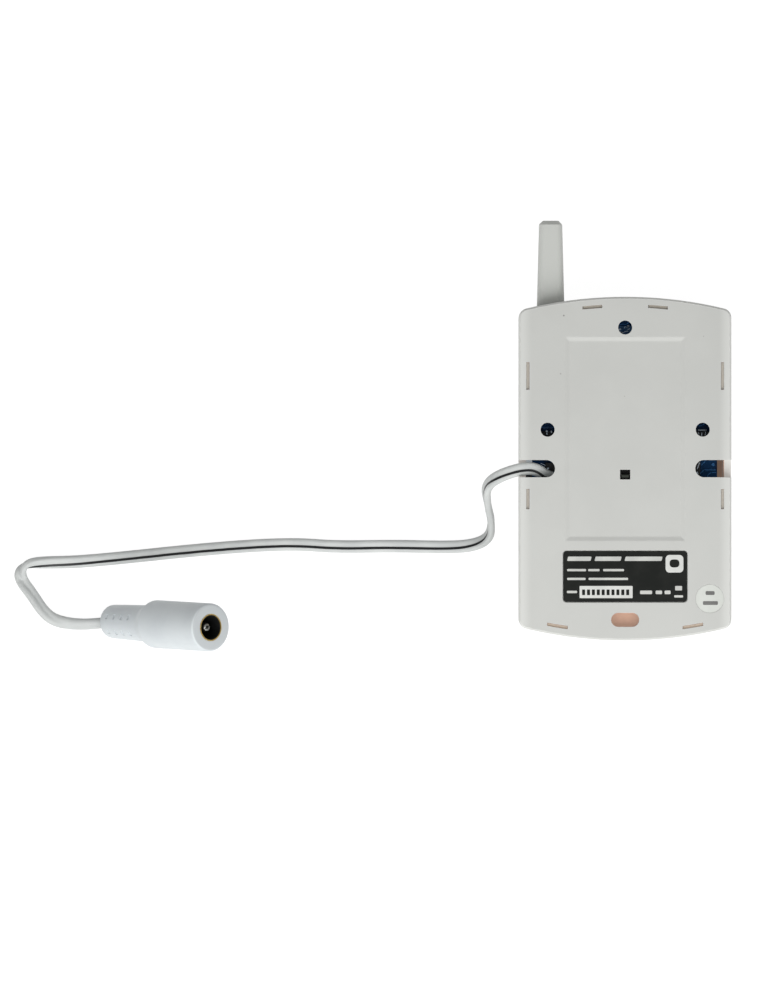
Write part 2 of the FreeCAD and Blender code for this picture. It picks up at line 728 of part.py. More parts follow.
def board_screw_places():
    return [(f"-{BOARD_SCREW_X}", f"({CASE_TOP} - Size.board_screw_top_drop)"),
            (BOARD_SCREW_X, f"({CASE_BOTTOM} + Size.board_screw_low_rise)")]


def board_post_places():
    return [(BOARD_SCREW_X, f"({CASE_TOP} - Size.board_screw_top_drop)"),
            (f"-{BOARD_SCREW_X}", f"({CASE_BOTTOM} + Size.board_screw_low_rise)")]


# Circuit board and its screws

def make_board():
    body = new_body("circuit_board")
    outline = new_sketch(body, "board_outline", BOARD_FRONT)
    low = f"({CASE_BOTTOM} + Size.board_bottom_gap)"
    notch_x = f"(Size.board_notch_width - {BOARD_HALF})"
    notch_y = f"({BOARD_TOP} - Size.board_notch_depth)"
    corners = [(f"-{BOARD_HALF}", low), (BOARD_HALF, low), (BOARD_HALF, BOARD_TOP),
               (notch_x, BOARD_TOP), (notch_x, notch_y), (f"-{BOARD_HALF}", notch_y)]
    points = [(value(x), value(y)) for x, y in corners]
    for index, start in enumerate(points):
        outline.addGeometry(line(*start, *points[(index + 1) % len(points)]), False)
    for index, (x, y) in enumerate(corners):
        following = (index + 1) % len(corners)
        outline.addConstraint(Sketcher.Constraint("Coincident", index, 2, following, 1))
        pin_point(outline, index, 1, x, y)
    pad(body, outline, "Size.board_thickness", "board_plate")
    holes = new_sketch(body, "board_hole_outlines", BOARD_BACK)
    for x, y in board_screw_places():
        add_circle(holes, x, y, "Size.pilot_hole")
    pocket(body, holes, "Size.board_thickness", "board_holes")
    return keep(body)


def make_board_screws():
    """Two screws that hold the board to its bosses."""
    screws = []
    for number, (x, y) in enumerate(board_screw_places(), start=1):
        body = new_body(f"board_screw_{number}")
        shank_length = f"({BOARD_SCREW_DEPTH} + Size.board_thickness - Size.board_screw_tip_gap)"
        shank = new_sketch(body, f"shank_outline_{number}", f"-{shank_length}")
        add_circle(shank, "0", "0", "Size.board_screw_shank")
        pad(body, shank, f"{shank_length} + Size.weld", f"shank_{number}")
        head = new_sketch(body, f"head_outline_{number}")
        add_circle(head, "0", "0", "Size.board_screw_head")
        pad(body, head, "Size.board_screw_head_height", f"head_{number}")
        place_upright(body, x, y, BOARD_BACK)
        screws.append(body)
    return keep(group("board_screws", screws))


# Antenna: a tapered moulded sleeve over a wire that is soldered to the board

def make_antenna():
    body = new_body("antenna_sleeve")
    length = "(Size.antenna_foot_depth + Size.antenna_reach)"
    bevel = "Size.antenna_tip_bevel"
    narrowing = f"(2 * {length} * tan(Size.antenna_taper * 1 deg))"
    steps = [("foot", "0", "0", "Size.antenna_edge_radius"),
             ("shoulder", f"({length} - {bevel})", narrowing, "Size.antenna_tip_radius"),
             ("tip", length, f"({narrowing} + 2 * {bevel})", f"(Size.antenna_tip_radius - {bevel})")]
    sections = []
    for name, height, inset, corner in steps:
        section = new_sketch(body, f"sleeve_{name}_section", height)
        add_rounded_rectangle(section, "0", "0", f"(Size.antenna_width - {inset})",
                              f"(Size.antenna_depth - {inset})", corner)
        sections.append(section)
    loft(body, sections, "sleeve_shaft")
    collar = new_sketch(body, "collar_outline")
    add_centred_rectangle(collar, "0", "0", "Size.antenna_collar_width", "Size.antenna_collar_height")
    pad(body, collar, "Size.antenna_collar_thickness", "collar")
    bore = new_sketch(body, "wire_bore_outline")
    add_circle(bore, "0", "0", "Size.antenna_bore")
    pocket(body, bore, f"{length} - Size.antenna_tip_wall", "wire_bore", reverse=True)
    stand_along_y(body, ANTENNA_X, f"{CASE_TOP} - Size.antenna_foot_depth", ANTENNA_AXIS)
    keep(body)

    wire = doc.addObject("Part::Cylinder", "antenna_wire")
    bind(wire, "Radius", "Size.antenna_wire / 2")
    start = f"({BOARD_TOP} - Size.board_notch_depth - Size.antenna_wire_overlap)"
    end = f"({CASE_TOP} + Size.antenna_reach - Size.antenna_tip_wall - Size.antenna_wire_gap)"
    bind(wire, "Height", f"{end} - {start}")
    stand_along_y(wire, ANTENNA_X, start, ANTENNA_AXIS)
    return keep(wire)


def stand_along_y(thing, x, y, z):
    """Turns a piece that was drawn upright so that it points along +Y."""
    thing.Placement = Placement(Vector(value(x), value(y), value(z)), Rotation(Vector(1, 0, 0), -90))
    for path, expression in ((".Placement.Base.x", x), (".Placement.Base.y", y), (".Placement.Base.z", z)):
        bind(thing, path, expression)


# Tamper switch: its plunger is pressed through the window in the back cover

def make_tamper_switch():
    body = new_body("tamper_switch")
    outline = new_sketch(body, "switch_outline", BOARD_BACK)
    add_centred_rectangle(outline, "0", PLUNGER_Y, "Size.switch_size", "Size.switch_size")
    block_pad = pad(body, outline, "Size.switch_height", "switch_block")
    dress(body, "Chamfer", block_pad, at_height(f"{BOARD_BACK} + Size.switch_height"), "Size.switch_bevel",
          "switch_bevel", "Size")
    well = new_sketch(body, "switch_well_outline", f"{BOARD_BACK} + Size.switch_height")
    add_centred_rectangle(well, "0", PLUNGER_Y, "(Size.plunger_width + 2 * Size.plunger_gap)",
                          "(Size.plunger_thickness + 2 * Size.plunger_gap)")
    pocket(body, well, "Size.switch_height - Size.switch_floor", "switch_well")
    keep(body)

    plunger = new_body("tamper_plunger")
    foot = f"({BOARD_BACK} + Size.switch_floor + Size.plunger_travel + Size.plunger_gap)"
    tip = "(Size.case_depth - Size.panel_depth - Size.plunger_sink)"
    section = new_sketch(plunger, "plunger_section", foot)
    add_centred_rectangle(section, "0", PLUNGER_Y, "Size.plunger_width", "Size.plunger_thickness")
    stem = pad(plunger, section, f"{tip} - {foot}", "plunger_stem")
    dress(plunger, "Chamfer", stem, at_height(tip), "Size.plunger_gap", "plunger_tip", "Size")
    return keep(plunger)


# Microphone, rubber boot, indicator and light pipe on the front side of the board

def add_half_profile(sketch, corners):
    """A closed profile of straight edges from expressions for radius and height."""
    points = [(value(x), value(y)) for x, y in corners]
    first = sketch.GeometryCount
    count = len(points)
    for index, start in enumerate(points):
        sketch.addGeometry(line(*start, *points[(index + 1) % count]), False)
    for index, (x, y) in enumerate(corners):
        sketch.addConstraint(Sketcher.Constraint("Coincident", first + index, 2, first + (index + 1) % count, 1))
        pin_point(sketch, first + index, 1, x, y)


def place_upright(thing, x, y, z):
    for path, expression in ((".Placement.Base.x", x), (".Placement.Base.y", y), (".Placement.Base.z", z)):
        bind(thing, path, expression)


def make_microphone():
    capsule = new_body("microphone_capsule")
    section = new_sketch(capsule, "capsule_section", role="XZ_Plane")
    radius = "(Size.microphone_size / 2)"
    height = f"({BOARD_FRONT} - Size.front_thickness - Size.boot_floor)"
    sound_hole = "(Size.microphone_hole / 2)"
    sunk = "Size.microphone_hole_depth"
    add_half_profile(section, [("0", sunk), (sound_hole, sunk), (sound_hole, "0"), (radius, "0"),
                               (radius, height), ("0", height)])
    revolve(capsule, section, "capsule_can")
    place_upright(capsule, MICROPHONE_X, MICROPHONE_Y, "Size.front_thickness + Size.boot_floor")
    keep(capsule)

    boot = new_body("microphone_boot")
    profile = new_sketch(boot, "boot_section", role="XZ_Plane")
    inner = f"({radius} + Size.seat_gap)"
    outer = f"({inner} + Size.boot_wall)"
    mouth = "(Size.boot_mouth / 2)"
    front = "Size.front_thickness"
    shelf = "(Size.front_thickness + Size.boot_floor - Size.seat_gap)"
    rim = f"({BOARD_FRONT} - Size.boot_top_gap)"
    add_half_profile(profile, [(mouth, front), (outer, front), (outer, rim), (inner, rim), (inner, shelf),
                               (mouth, shelf)])
    revolve(boot, profile, "boot_cup")
    place_upright(boot, MICROPHONE_X, MICROPHONE_Y, "0")
    return keep(boot)


def make_indicator():
    flange_top = "(Size.front_thickness + Size.pipe_flange_thickness)"
    led = new_body("status_led")
    section = new_sketch(led, "led_section", role="XZ_Plane")
    radius = "(Size.led_size / 2)"
    rim = f"({radius} + Size.led_rim)"
    length = f"({BOARD_FRONT} - {flange_top} - Size.led_gap)"
    rim_low = f"({length} - Size.led_rim_height)"
    add_half_profile(section, [("0", "0"), (radius, "0"), (radius, rim_low), (rim, rim_low), (rim, length),
                               ("0", length)])
    revolve(led, section, "led_lens")
    place_upright(led, "0", LED_Y, f"{flange_top} + Size.led_gap")
    keep(led)

    pipe = new_body("light_pipe")
    profile = new_sketch(pipe, "pipe_section", role="XZ_Plane")
    front, sunk, lens = "Size.front_thickness", "Size.pipe_sink", "(Size.pipe_size / 2)"
    flange = "(Size.pipe_flange / 2)"
    add_half_profile(profile, [("0", sunk), (lens, sunk), (lens, front), (flange, front), (flange, flange_top),
                               ("0", flange_top)])
    revolve(pipe, profile, "pipe_lens")
    place_upright(pipe, "0", LED_Y, "0")
    return keep(pipe)


# Chips and other parts on the board

def make_chip(name, x, y, z, length, width, height, leads, up=True):
    """A moulded chip with bent leads along both long sides; up means on the back face of the board."""
    base = f"({z} + Size.chip_standoff)" if up else f"({z} - Size.chip_standoff - {height})"
    foot = f"({z})" if up else f"({z} - {height} / 2)"
    shapes = [block(f"{name}_moulding", x, y, base, length, width, height)]
    for side in (-1, 1):
        outward = f"({y} + {side} * ({width} / 2 + Size.lead_reach / 2 - Size.weld))"
        for number in range(leads):
            along = f"({x} + ({number} - {(leads - 1) / 2}) * Size.lead_pitch)"
            shapes.append(block(f"{name}_lead", along, outward, foot, "Size.lead_width", "Size.lead_reach",
                                f"({height} / 2)"))
    return keep(fuse(name, shapes))


def make_crystal(x, y):
    """A low can with fully rounded ends."""
    can = block("crystal_can", x, y, BOARD_BACK, "Size.crystal_length", "Size.crystal_width",
                "Size.crystal_height")
    rounded = doc.addObject("Part::Fillet", "crystal")
    rounded.Base = can
    doc.recompute()
    corner = value("Size.crystal_width / 2 - Size.weld")
    upright = edges_where(can.Shape, lambda edge: edge.BoundBox.ZLength > value("Size.crystal_height") / 2)
    rounded.Edges = [(int(name[len("Edge"):]), corner, corner) for name in upright]
    return keep(rounded)


def make_radio(x, y):
    """A small board on pins with a resonator can on it."""
    base = f"({BOARD_BACK} + Size.radio_standoff)"
    shapes = [block("radio_board", x, y, base, "Size.radio_width", "Size.radio_length", "Size.radio_thickness")]
    pin_x = f"({x} + Size.radio_width / 2 - Size.radio_pin_inset)"
    for number in range(RADIO_PIN_COUNT):
        pin_y = f"({y} + ({number} - {(RADIO_PIN_COUNT - 1) / 2}) * Size.header_pitch)"
        shapes.append(block("radio_pin", pin_x, pin_y, BOARD_BACK, "Size.radio_pin", "Size.radio_pin",
                            "Size.radio_standoff + Size.radio_thickness + Size.radio_pin"))
    keep(fuse("radio_module", shapes))
    return keep(block("radio_resonator", f"({x} - Size.resonator_shift_x)", f"({y} + Size.resonator_shift_y)",
                      f"({base} + Size.radio_thickness)", "Size.resonator_size", "Size.resonator_size",
                      "Size.resonator_height"))


def make_capacitors():
    """Two round cans on square bases, on the front face of the board."""
    height = f"({BOARD_FRONT} - Size.front_thickness - Size.capacitor_gap)"
    capacitors = []
    for number, side in ((1, -1), (2, 1)):
        body = new_body(f"capacitor_{number}")
        base = new_sketch(body, f"capacitor_base_{number}", "-Size.capacitor_base_height")
        add_centred_rectangle(base, "0", "0", "Size.capacitor_base", "Size.capacitor_base")
        pad(body, base, "Size.capacitor_base_height", f"base_{number}")
        outline = new_sketch(body, f"capacitor_can_{number}", f"-{height}")
        add_circle(outline, "0", "0", "Size.capacitor_size")
        can = pad(body, outline, f"{height} - Size.capacitor_base_height + Size.weld", f"can_{number}")
        dress(body, "Chamfer", can, at_height(f"-{height}"), "Size.capacitor_bevel", f"can_bevel_{number}", "Size")
        place_upright(body, f"-Size.capacitor_x + {side} * Size.capacitor_pitch / 2",
                      f"{CASE_MIDDLE} - Size.capacitor_drop", BOARD_FRONT)
        capacitors.append(body)
    return keep(group("smoothing_capacitors", capacitors))


def make_regulator():
    x, y = "(-Size.regulator_x)", f"({CASE_MIDDLE} - Size.regulator_drop)"
    shapes = [block("regulator_moulding", x, y, BOARD_BACK, "Size.regulator_width", "Size.regulator_depth",
                    "Size.regulator_height")]
    lead_y = f"({y} - Size.regulator_depth / 2 - Size.regulator_lead_length / 2 + Size.weld)"
    for place in (-1, 0, 1):
        shapes.append(block("regulator_lead", f"({x} + {place} * Size.regulator_pitch)", lead_y, BOARD_BACK,
                            "Size.regulator_lead", "Size.regulator_lead_length", "Size.regulator_lead"))
    return keep(fuse("voltage_regulator", shapes))


def make_mode_header():
    """Three posts, two of them bridged by a push-on cap."""
    y = f"({CASE_MIDDLE} - Size.header_drop)"
    middle = (HEADER_POST_COUNT - 1) / 2
    posts = [f"({HEADER_X} + {number - middle} * Size.header_pitch)" for number in range(HEADER_POST_COUNT)]
    shapes = [block("header_base", HEADER_X, y, BOARD_BACK, f"{HEADER_POST_COUNT} * Size.header_pitch",
                    "Size.header_pitch", "Size.header_base")]
    for post in posts:
        shapes.append(block("header_post", post, y, BOARD_BACK, "Size.header_pin", "Size.header_pin",
                            "Size.header_top"))
    keep(fuse("mode_header", shapes))

    seat = f"({BOARD_BACK} + Size.header_base)"
    gap = "Size.jumper_gap"
    well_height = f"(Size.header_top - Size.header_base + {gap})"
    cap = block("cap_block", f"({posts[-1]} - Size.header_pitch / 2)", y, f"({seat} + {gap})",
                f"2 * Size.header_pitch - 2 * {gap}", f"Size.header_pitch - {gap}",
                f"Size.header_top - Size.header_base + Size.jumper_wall")
    wells = [block("cap_well", post, y, seat, f"Size.header_pin + {gap}", f"Size.header_pin + {gap}", well_height)
             for post in posts[1:]]
    return keep(cut("mode_jumper", cap, fuse("cap_wells", wells)))


def make_solder_joints():
    """The joints that the screw holes of the back cover leave in sight."""
    side_y = f"({CASE_MIDDLE} + Size.side_hole_rise)"
    top_y = f"({CASE_TOP} - Size.top_hole_drop)"
    places = [(f"{side} * Size.screw_spacing / 2 + {right}", f"{side_y} + {up}")
              for side in (-1, 1) for right, up in SIDE_SOLDER]
    places += [(f"{right}", f"{top_y} + {up}") for right, up in TOP_SOLDER]
    joints = []
    for x, y in places:
        joint = doc.addObject("Part::Prism", "solder_joint")
        joint.Polygon = 8
        bind(joint, "Circumradius", "Size.solder_size / 2")
        bind(joint, "Height", "Size.solder_height")
        place_upright(joint, x, y, BOARD_BACK)
        joints.append(joint)
    return keep(group("solder_joints", joints))


def make_board_parts():
    chip_y = f"({CASE_MIDDLE} + Size.chip_rise)"
    make_chip("microcontroller", "Size.chip_x", chip_y, BOARD_BACK, "Size.chip_length", "Size.chip_width",
              "Size.chip_height", CHIP_LEAD_COUNT)
    make_chip("audio_amplifier", "(-Size.amplifier_x)", f"({CASE_TOP} - Size.amplifier_drop)", BOARD_FRONT,
              "Size.amplifier_length", "Size.amplifier_width", "Size.amplifier_height", AMPLIFIER_LEAD_COUNT,
              up=False)
    crystal_drop = "(Size.chip_width / 2 + Size.lead_reach + Size.crystal_gap + Size.crystal_width / 2)"
    make_crystal("Size.chip_x", f"({chip_y} - {crystal_drop})")
    make_radio("(-Size.radio_x)", f"({CASE_TOP} - Size.radio_drop)")
    make_capacitors()
    make_regulator()
    make_mode_header()
    make_solder_joints()


# Board connector: a white header on the board, and the plug on the inner end of the lead

def make_connector():
    header = new_body("lead_header")
    outline = new_sketch(header, "lead_header_outline", BOARD_BACK)
    add_centred_rectangle(outline, CONNECTOR_X, CONNECTOR_Y, "Size.connector_width",
                          "Size.connector_depth + 2 * Size.connector_wall")
    pad(header, outline, "Size.connector_height", "lead_header_block")
    well = new_sketch(header, "lead_header_well", f"{BOARD_BACK} + Size.connector_height")
    add_centred_rectangle(well, PLUG_X, CONNECTOR_Y, "Size.connector_width", "Size.connector_depth")
    pocket(header, well, "Size.connector_height - Size.connector_floor", "lead_header_hollow")
    keep(header)

    plug = new_body("lead_plug")
    section = new_sketch(plug, "lead_plug_outline", f"{BOARD_BACK} + Size.connector_floor")
    add_centred_rectangle(section, PLUG_X, CONNECTOR_Y, "(Size.connector_width - 2 * Size.plug_gap)",
                          "(Size.connector_depth - 2 * Size.plug_gap)")
    shell = pad(plug, section, "Size.plug_height - Size.connector_floor", "lead_plug_block")
    dress(plug, "Chamfer", shell, at_height(f"{BOARD_BACK} + Size.plug_height"), "Size.plug_bevel",
          "lead_plug_bevel", "Size")
    return keep(plug)


# Labels that sit in shallow seats of the back cover

def make_labels():
    plate = new_body("label_plate")
    outline = new_sketch(plate, "label_outline", "Size.case_depth - Size.label_recess")
    add_rounded_rectangle(outline, "0", f"{CASE_BOTTOM} + Size.label_rise", "Size.label_width", "Size.label_height",
                          "Size.label_corner")
    pad(plate, outline, "Size.label_thickness", "label_sheet")
    keep(plate)
    sticker = new_body("round_sticker")
    disc = new_sketch(sticker, "sticker_outline", "Size.case_depth - Size.sticker_recess")
    add_circle(disc, f"{HALF_WIDTH} - Size.sticker_inset", f"{CASE_BOTTOM} + Size.sticker_rise", "Size.sticker_size")
    pad(sticker, disc, "Size.sticker_thickness", "sticker_sheet")
    return keep(sticker)


# Power socket on the lead: a moulded body around a lined bore with a centre pin

def jack_frame():
    """Where the tail's end lies, and the turn that takes +Z to the socket's axis."""
    tilt = math.radians(value("Size.jack_tilt"))
    heading = math.radians(-value("Size.jack_heading"))
    axis = Vector(math.cos(tilt) * math.cos(heading), math.cos(tilt) * math.sin(heading), math.sin(tilt))
    radius = value("Size.jack_tail_size") / 2
    round_off = value("Size.jack_tail_round")
    corner = round_off * (1 - math.sqrt(0.5))
    rim = [(radius - round_off, 0), (radius - corner, corner), (radius, round_off)]
    lowest = max(reach * math.cos(tilt) - along * math.sin(tilt) for reach, along in rim)
    height = lowest + value("Size.jack_lift")
    tail = Vector(-value("Size.jack_tail_x"), -value("Size.jack_tail_y"), height)
    return tail, axis


def place_on_jack(thing):
    tail, axis = jack_frame()
    thing.Placement = Placement(tail, Rotation(Vector(0, 0, 1), axis))
    return keep(thing)


def make_jack():
    body = new_body("jack_body")
    profile = new_sketch(body, "jack_section", role="XZ_Plane")
    cone_start = "Size.jack_tail_length"
    cone_end = "(Size.jack_tail_length + Size.jack_cone_length)"
    end = "Size.jack_length"
    bore = "(Size.socket_bore / 2 + Size.liner_wall + Size.ring_wall)"
    floor = f"({end} - Size.socket_depth - Size.socket_base)"
    tail, round_off = "Size.jack_tail_size / 2", "Size.jack_tail_round"
    corner = f"({round_off} * (1 - sqrt(0.5)))"
    add_half_profile(profile, [("0", "0"), (f"({tail} - {round_off})", "0"), (f"({tail} - {corner})", corner),
                               (f"({tail})", round_off), ("Size.jack_neck_size / 2", cone_start),
                               ("Size.jack_barrel_size / 2", cone_end), ("Size.jack_barrel_size / 2", end),
                               (bore, end), (bore, floor), ("0", floor)])
    shell = revolve(body, profile, "jack_shell")
    dress(body, "Chamfer", shell,
          lambda edge: at_height(end)(edge) and edge.BoundBox.XLength > value("2 * Size.socket_bore"),
          "Size.jack_face_bevel", "face_bevel", "Size")
    place_on_jack(body)

    ring = new_body("jack_ring")
    section = new_sketch(ring, "ring_section", role="XZ_Plane")
    inner = "(Size.socket_bore / 2 + Size.liner_wall)"
    outer = f"({inner} + Size.ring_wall)"
    proud = f"({end} + Size.ring_proud)"
    add_half_profile(section, [(inner, f"{end} - Size.socket_depth"), (outer, f"{end} - Size.socket_depth"),
                               (outer, proud), (inner, proud)])
    revolve(ring, section, "ring_tube")
    place_on_jack(ring)

    insert = new_body("jack_insert")
    section = new_sketch(insert, "insert_section", role="XZ_Plane")
    lip = f"({end} - Size.liner_wall)"
    hole = "(Size.socket_bore / 2)"
    base = f"({end} - Size.socket_depth)"
    seat = f"({base} + Size.liner_wall)"
    add_half_profile(section, [("0", floor), (outer, floor), (outer, base), (inner, base), (inner, lip),
                               (hole, lip), (hole, seat), ("0", seat)])
    revolve(insert, section, "insert_cup")
    place_on_jack(insert)

    pin = new_body("jack_pin")
    section = new_sketch(pin, "pin_section", role="XZ_Plane")
    shaft = "(Size.socket_pin / 2)"
    tip = f"({end} - Size.pin_sink)"
    add_half_profile(section, [("0", seat), (shaft, seat), (shaft, f"{tip} - Size.pin_bevel"),
                               (f"({shaft} - Size.pin_bevel)", tip), ("0", tip)])
    revolve(pin, section, "pin_shaft")
    return place_on_jack(pin)


# Lead: a flat twin cord from the board connector, out of the left notch, to the power socket

def cord_route():
    """Points that the cord's runs go between, from its plug on the board to the socket's tail."""
    plug_face = value(f"{PLUG_X} - Size.connector_width / 2 + Size.plug_gap")
    start = Vector(plug_face, value(CONNECTOR_Y), value(f"{BOARD_BACK} + Size.cord_exit_height"))
    tail, axis = jack_frame()
    floor = value("Size.cord_thickness") / 2
    flat = Vector(axis.x, axis.y, 0).normalize()
    rise = math.radians(value("Size.jack_tilt") / 2)
    climb = flat * math.cos(rise) + Vector(0, 0, math.sin(rise))
    last_turn = tail - axis * value("Size.cord_last_run")
    first_turn = last_turn - climb * value("Size.cord_climb_run")
    first_turn.z = floor
    route = [
        start,
        start - Vector(value("Size.cord_first_run"), 0, 0),
        Vector(-21.0, -8.9, 14.0),
        Vector(-25.0, -9.1, 14.7),
        Vector(-30.3, -11.0, 13.3),
        Vector(-32.9, -13.4, 9.8),
        Vector(-32.3, -17.5, 5.8),
        Vector(-31.2, -21.9, 2.3),
        Vector(-32.0, -25.6, 0.95),
        Vector(-36.2, -27.3, floor),
        Vector(-43.2, -27.55, floor),
        Vector(-54.0, -27.25, floor),
        Vector(-68.0, -27.5, floor),
        Vector(-77.0, -26.8, floor),
        Vector(-88.0, -27.15, floor),
        Vector(-103.0, -28.4, floor),
        Vector(-118.5, -30.05, floor),
        Vector(-129.5, -31.05, floor),
        Vector(-137.0, -31.15, floor),
        Vector(-141.0, -31.35, floor),
        Vector(-142.65, -32.95, floor),
        Vector(-142.7, -35.2, floor),
        Vector(-140.0, -38.7, floor),
        Vector(-137.6, -42.4, floor),
        Vector(-135.1, -44.7, floor),
        Vector(-131.5, -45.6, floor),
        Vector(-128.0, -45.65, floor),
        Vector(-125.3, -45.3, floor),
        first_turn,
        last_turn,
        tail,
    ]
    return route


def tangent_path(points):
    """Straight runs joined by arcs that are as large as the two runs beside each point allow."""
    edges, radii = [], []
    here = points[0]
    for before, corner, after in zip(points, points[1:], points[2:]):
        arriving, leaving = corner - before, after - corner
        half_turn = arriving.getAngle(leaving) / 2
        inset = ARC_SHARE * min(arriving.Length, leaving.Length)
        radius = inset / math.tan(half_turn)
        radii.append(radius)
        arriving.normalize()
        leaving.normalize()
        begin, end = corner - arriving * inset, corner + leaving * inset
        to_middle = (leaving - arriving).normalize()
        reach = inset / math.sin(half_turn)
        middle = corner + to_middle * (reach - radius)
        edges.append(Part.LineSegment(here, begin).toShape())
        edges.append(Part.Arc(begin, middle, end).toShape())
        here = end
    edges.append(Part.LineSegment(here, points[-1]).toShape())
    return Part.Wire(edges), radii


def flat_direction(points):
    """The cord's width direction at its start, carried back without twist from where it lies flat."""
    floor_start = next(index for index, point in enumerate(points) if point.z <= value("Size.cord_thickness") / 2)
    across = Vector(0, 0, 1).cross(points[floor_start + 1] - points[floor_start]).normalize()
    for index in range(floor_start, 0, -1):
        leaving = points[index + 1] - points[index]
        arriving = points[index] - points[index - 1]
        across = Rotation(leaving, arriving).multVec(across)
    return across


def make_cord():
    points = cord_route()
    path, radii = tangent_path(points)
    half_width, half_height = value("Size.cord_width") / 2, value("Size.cord_thickness") / 2
    bevel = value("Size.cord_bevel")
    start, onward = points[0], (points[1] - points[0]).normalize()
    across = flat_direction(points)
    upward = onward.cross(across).normalize()
    quarter = [(half_width, half_height - bevel), (half_width - bevel, half_height)]
    corners = quarter + [(-right, up) for right, up in reversed(quarter)]
    corners += [(-right, -up) for right, up in corners]
    section = Part.makePolygon([start + across * right + upward * up for right, up in corners + corners[:1]])
    sweep = Part.BRepOffsetAPI.MakePipeShell(path)
    sweep.setFrenetMode(False)
    sweep.add(section, False, False)
    sweep.build()
    sweep.makeSolid()
    area = Part.Face(section).Area
    cord = doc.addObject("Part::Feature", "power_lead")
    cord.Shape = sweep.shape()
    cord.Placement = Placement()
    print("cord radii", ", ".join(f"{radius:.1f}" for radius in radii))
    print("cord runs", ", ".join(f"{(b - a).Length:.1f}" for a, b in zip(points, points[1:])))
    print(f"cord length {path.Length:.1f}, volume {cord.Shape.Volume:.1f}, "
          f"section by length {area * path.Length:.1f}")
    return keep(cord)


def check_document():
    """Stops unless every object and every sub-part came out whole."""
    for thing in doc.Objects:
        if "Invalid" in thing.State or "Error" in thing.State:
            raise RuntimeError(f"{thing.Label} failed: {thing.State}")
    for node in nodes:
        if node.Shape.isNull() or not node.Shape.isValid():
            raise RuntimeError(f"{node.Label} has no valid shape")


def write_steps():
    os.makedirs("parts", exist_ok=True)
    for node in nodes:
        node.Shape.exportStep(f"parts/{node.Label}.step")
        box = node.Shape.BoundBox
        print(f"{node.Label:22s} solids {len(node.Shape.Solids)} volume {node.Shape.Volume:9.2f}"
              f"  x {box.XMin:8.2f} {box.XMax:8.2f}  y {box.YMin:8.2f} {box.YMax:8.2f}"
              f"  z {box.ZMin:6.2f} {box.ZMax:6.2f}")


make_back_cover()
make_front_cover()
make_board()
make_board_screws()
make_antenna()
make_tamper_switch()
make_microphone()
make_indicator()
make_board_parts()
make_connector()
make_labels()
make_jack()
make_cord()
doc.recompute()
check_document()
write_steps()
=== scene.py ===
# %% [markdown]
# A glass break sensor lies on its front, seen from its mounting side. It is a small white box with
# a stub antenna and a flat twin lead that ends in a round power socket.
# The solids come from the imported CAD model. This script adds the camera, the lead, the finishes,
# the soft moulded edges, what shows through the holes, the printing, the floor and the light.

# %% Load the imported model
import json
import math

import bpy
from mathutils import Matrix, Vector

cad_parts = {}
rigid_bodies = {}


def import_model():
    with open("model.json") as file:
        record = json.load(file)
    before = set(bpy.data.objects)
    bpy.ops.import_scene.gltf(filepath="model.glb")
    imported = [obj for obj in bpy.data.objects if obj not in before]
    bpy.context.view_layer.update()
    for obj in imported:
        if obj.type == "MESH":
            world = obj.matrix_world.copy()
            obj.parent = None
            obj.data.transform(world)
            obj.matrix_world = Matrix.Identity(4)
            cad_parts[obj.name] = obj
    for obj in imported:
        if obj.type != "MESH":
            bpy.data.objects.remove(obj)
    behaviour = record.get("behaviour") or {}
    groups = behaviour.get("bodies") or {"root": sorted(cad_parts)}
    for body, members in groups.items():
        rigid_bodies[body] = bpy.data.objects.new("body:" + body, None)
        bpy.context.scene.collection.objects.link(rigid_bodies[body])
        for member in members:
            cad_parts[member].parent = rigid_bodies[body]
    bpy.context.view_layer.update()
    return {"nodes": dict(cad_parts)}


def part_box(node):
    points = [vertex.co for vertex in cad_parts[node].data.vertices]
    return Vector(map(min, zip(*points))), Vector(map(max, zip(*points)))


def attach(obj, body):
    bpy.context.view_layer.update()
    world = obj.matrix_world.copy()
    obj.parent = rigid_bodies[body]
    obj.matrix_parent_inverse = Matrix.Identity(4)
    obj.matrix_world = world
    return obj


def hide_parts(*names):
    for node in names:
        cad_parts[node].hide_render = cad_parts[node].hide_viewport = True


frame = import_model()
nodes = frame["nodes"]
MM = 0.001

# %% [markdown]
# The photograph looks straight down on the sensor, and the case, the lead and the socket keep their
# shapes out to the corners. So the camera hangs high above and has a long lens, like a copy stand.
# Its height is free. The lens follows from it: the picture's long side takes in a known length at
# the level of the case's back.

# %% Camera
PIXELS_PER_MM = 4.25
PICTURE_HEIGHT = 1000 / PIXELS_PER_MM * MM
PICTURE_MIDDLE = Vector((-56.4, -16.4, 16.5)) * MM
CAMERA_DISTANCE = 3.0

camera_data = bpy.data.cameras.new("camera")
camera_data.sensor_width = 36.0
camera_data.lens = camera_data.sensor_width * CAMERA_DISTANCE / PICTURE_HEIGHT
camera_data.clip_start = 0.1
camera_data.clip_end = 20.0
camera = bpy.data.objects.new("camera", camera_data)
camera.location = PICTURE_MIDDLE + Vector((0, 0, CAMERA_DISTANCE))
bpy.context.scene.collection.objects.link(camera)
bpy.context.scene.camera = camera
print("lens", round(camera_data.lens, 1), "mm")

# %% [markdown]
# The lead is a flat twin cord. It leaves the notch, drops to the floor, runs left, folds back and
# enters the socket's tail. A line of straight pieces would show its corners, so a smooth NURBS spline
# runs along the route's points. A flat cord would rather roll than bend sideways, so each point also
# has a roll: on its edge at the drop, and turned over at the fold. A second spline made of the rolls
# alone smooths them in step with the line.

